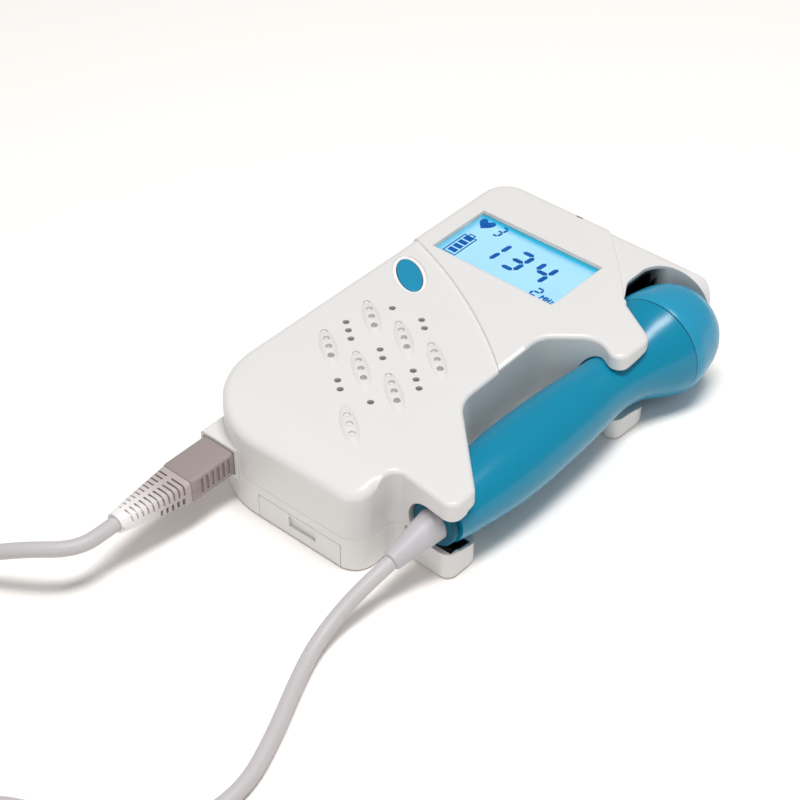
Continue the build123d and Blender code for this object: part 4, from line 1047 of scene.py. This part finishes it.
def rounded_section(half_width, half_height, radius, steps, dent=0.0):
    """A rounded rectangle in (across, up), with a fine line let into the middle of its sides."""
    points = []
    for quarter, (sx, sy) in enumerate(((1, 1), (-1, 1), (-1, -1), (1, -1))):
        across, up = sx * (half_width - radius), sy * (half_height - radius)
        for i in range(steps + 1):
            angle = math.radians(90 * quarter + 90 * i / steps)
            points.append((across + radius * math.cos(angle), up + radius * math.sin(angle)))
        if sx * sy < 0:
            side = sx * half_width
            points += [
                (side, SEAM_HALF * sy), (side - sx * dent, 0.0), (side, -SEAM_HALF * sy)]
    return points


def boot_section(y):
    """Middle and half sizes of the boot at a place along it."""
    near, far = BOOT_STATIONS[:2] if y > BOOT_STATIONS[1][0] else BOOT_STATIONS[1:]
    share = (y - near[0]) / (far[0] - near[0])
    return [a + (b - a) * share for a, b in zip(near[1:], far[1:])]


class DOPPLER_OT_plug(bpy.types.Operator):
    """Make the plug's housing with its grip ribs, and the boot with its flex slits"""
    bl_idname = "doppler.plug"
    bl_label = "Plug and boot"

    def execute(self, context):
        self.make_housing()
        self.make_boot()
        return {"FINISHED"}

    def make_housing(self):
        """The housing, with grooves in its sides and openings for its contacts."""
        across, up = (PLUG_LEFT + PLUG_RIGHT) / 2, (PLUG_LOW + PLUG_TOP) / 2
        wide, high = (PLUG_RIGHT - PLUG_LEFT) / 2, (PLUG_TOP - PLUG_LOW) / 2
        solid = loft([
            [at(across + a, y, up + b)
             for a, b in rounded_section(wide - less, high - less, 1.0, 6, dent=SEAM_DENT)]
            for y, less in HOUSING_STATIONS
        ])
        housing = make_piece("plug_body", solid, "plug_grey", body="plug",
                             sharp=PLUG_SHARP)
        cuts = [
            slab((side, GRIP_FIRST - GRIP_PITCH * index, up + 0.3), (0.42, 0.5, 2.6))
            for index in range(GRIPS) for side in (PLUG_LEFT, PLUG_RIGHT)
        ]
        cuts += [
            slab((across - 4.0 + CONTACT_PITCH * index, PLUG_FACE, up), (0.8, 4.85, 0.8))
            for index in range(CONTACTS)
        ]
        carve(housing, cuts)
        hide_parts("plug_housing")

    def make_boot(self):
        """The boot, which narrows round the cord, with its slits, notches and bore."""
        start = BOOT_STATIONS[0][0]
        rings = []
        for i in range(BOOT_STEPS + 1):
            share = i / BOOT_STEPS
            y = start + (BOOT_END - start) * share
            x, z, wide, high = boot_section(y)
            section = rounded_section(wide, high, min(1.1 + 1.7 * share, high - 0.05), 8)
            rings.append([at(x + a, y, z + b) for a, b in section])
        boot = make_piece("plug_boot_slit", loft(rings), "boot_grey", body="plug",
                          sharp=PLUG_SHARP)
        cuts = []
        for index in range(SLITS):
            y = SLIT_FIRST - SLIT_PITCH * index
            x, z, wide, high = boot_section(y)
            cuts += [
                slab((x + wide * 0.58, y, z + high), (wide * 0.5, 0.28, 0.8)),
                slab((x + wide, y, z + high * 0.55), (0.8, 0.28, high * 0.5)),
                slab((x - wide * 0.67, y, z + high), (wide * 0.42, 0.28, 0.8)),
                slab((x - wide, y, z + high * 0.7), (0.8, 0.28, high * 0.4)),
            ]
        for index in range(NOTCHES):
            y = NOTCH_FIRST - NOTCH_PITCH * index
            x, z, wide, high = boot_section(y)
            cuts += [
                slab((x + side * wide, y, z - high * 0.45), (1.3, 0.42, high * 0.32))
                for side in (-1, 1)
            ]
        cuts.append(loft([
            [at(BOOT_X + BORE_RADIUS * c, y, BOOT_Z + BORE_RADIUS * s) for c, s in circle(48)]
            for y in (BORE_FAR, BORE_NEAR)
        ]))
        carve(boot, cuts)
        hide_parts("plug_boot")


# ---------- stage

FLOOR_HALF = 3.0
LIGHTS = (
    # name and setting, width and depth, and place, in metres, of each light over the object
    ("key_light", "key", 0.55, 0.24, (0.14, -0.06, 1.0)),
    ("side_light", "side", 0.8, 0.8, (-1.0, -0.15, 0.45)),
    ("front_light", "front", 1.6, 0.5, (0.25, -1.1, 0.30)),
)
CAMERA_AZIMUTH, CAMERA_ELEVATION, CAMERA_ROLL = (
    math.radians(41.2), math.radians(40.13), math.radians(-0.1))
CAMERA_TARGET = (34.6, 48.0, 15.0)
CAMERA_DISTANCE = 0.5316
CAMERA_SENSOR, CAMERA_LENS = 36.0, 86.9


class DOPPLER_OT_stage(bpy.types.Operator):
    """Set up the floor, the studio light and the camera"""
    bl_idname = "doppler.stage"
    bl_label = "Stage"

    def execute(self, context):
        settings = context.scene.doppler_stage
        self.add_floor(settings)
        self.add_lights(context.scene, settings)
        self.add_camera(context.scene)
        context.scene.view_settings.view_transform = "Standard"
        return {"FINISHED"}

    def add_floor(self, settings):
        """A wide flat floor."""
        mesh = bpy.data.meshes.new("floor")
        corners = plate(-FLOOR_HALF, -FLOOR_HALF, FLOOR_HALF, FLOOR_HALF)
        mesh.from_pydata([(x, y, 0) for x, y in corners], [], [(0, 1, 2, 3)])
        mesh.materials.append(plastic("Floor", settings.floor, roughness=0.9, bump=0.0, mottle=2.0,
                                      shade=settings.floor))
        new_object("floor", mesh)

    def add_lights(self, scene, settings):
        """The even light all round, and the area lights, which all face the origin."""
        world = bpy.data.worlds.new("Surround")
        world.use_nodes = True
        ground = world.node_tree.nodes["Background"].inputs
        ground["Color"].default_value = WHITE
        ground["Strength"].default_value = settings.surround
        scene.world = world
        for name, setting, wide, deep, place in LIGHTS:
            light = bpy.data.lights.new(name, "AREA")
            light.energy = getattr(settings, setting)
            light.shape = "RECTANGLE"
            light.size = wide
            light.size_y = deep
            lamp = new_object(name, light)
            lamp.location = place
            lamp.rotation_euler = (-Vector(place)).to_track_quat("-Z", "Y").to_euler()

    def add_camera(self, scene):
        """The camera, looking at its target from its azimuth and elevation."""
        level = math.cos(CAMERA_ELEVATION)
        back = Vector((
            math.sin(CAMERA_AZIMUTH) * level, -math.cos(CAMERA_AZIMUTH) * level,
            math.sin(CAMERA_ELEVATION),
        ))
        right = Vector((math.cos(CAMERA_AZIMUTH), math.sin(CAMERA_AZIMUTH), 0.0))
        up = back.cross(right)
        cos, sin = math.cos(CAMERA_ROLL), math.sin(CAMERA_ROLL)
        matrix = Matrix((right * cos + up * sin, up * cos - right * sin, back))
        matrix = matrix.transposed().to_4x4()
        matrix.translation = at(*CAMERA_TARGET) + back * CAMERA_DISTANCE
        data = bpy.data.cameras.new("camera")
        data.sensor_fit = "HORIZONTAL"
        data.sensor_width = CAMERA_SENSOR
        data.lens = CAMERA_LENS
        data.clip_start = 0.01
        camera = new_object("camera", data)
        camera.matrix_world = matrix
        scene.camera = camera


class DOPPLER_OT_finishes(bpy.types.Operator):
    """Make the materials and give every part its own"""
    bl_idname = "doppler.finishes"
    bl_label = "Finishes"

    def execute(self, context):
        make_finishes(context.scene)
        dress_nodes()
        return {"FINISHED"}


# ---------- add-on

class DOPPLER_PT_panel(bpy.types.Panel):
    """Lists the steps that dress the monitor"""
    bl_idname = "DOPPLER_PT_panel"
    bl_label = "Fetal doppler monitor"
    bl_space_type = "VIEW_3D"
    bl_region_type = "UI"
    bl_category = "Doppler"

    def draw(self, context):
        for step in STEPS:
            self.layout.operator(step.bl_idname)


STEPS = (
    DOPPLER_OT_finishes,
    DOPPLER_OT_stage,
    DOPPLER_OT_plug,
    DOPPLER_OT_cord,
    DOPPLER_OT_display,
    DOPPLER_OT_button,
)
SETTINGS = {
    "doppler_cord": CordSettings,
    "doppler_case": CaseSettings,
    "doppler_display": DisplaySettings,
    "doppler_probe": ProbeSettings,
    "doppler_stage": StageSettings,
}


def register():
    """Registers the settings, the steps and the panel."""
    for name, group in SETTINGS.items():
        bpy.utils.register_class(group)
        setattr(bpy.types.Scene, name, PointerProperty(type=group))
    for step in STEPS:
        bpy.utils.register_class(step)
    bpy.utils.register_class(DOPPLER_PT_panel)


def unregister():
    """Takes everything away that register added."""
    bpy.utils.unregister_class(DOPPLER_PT_panel)
    for step in reversed(STEPS):
        bpy.utils.unregister_class(step)
    for name, group in SETTINGS.items():
        delattr(bpy.types.Scene, name)
        bpy.utils.unregister_class(group)


def main():
    """Registers the add-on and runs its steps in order."""
    register()
    for step in STEPS:
        family, name = step.bl_idname.split(".")
        getattr(getattr(bpy.ops, family), name)()


if __name__ == "__main__":
    main()
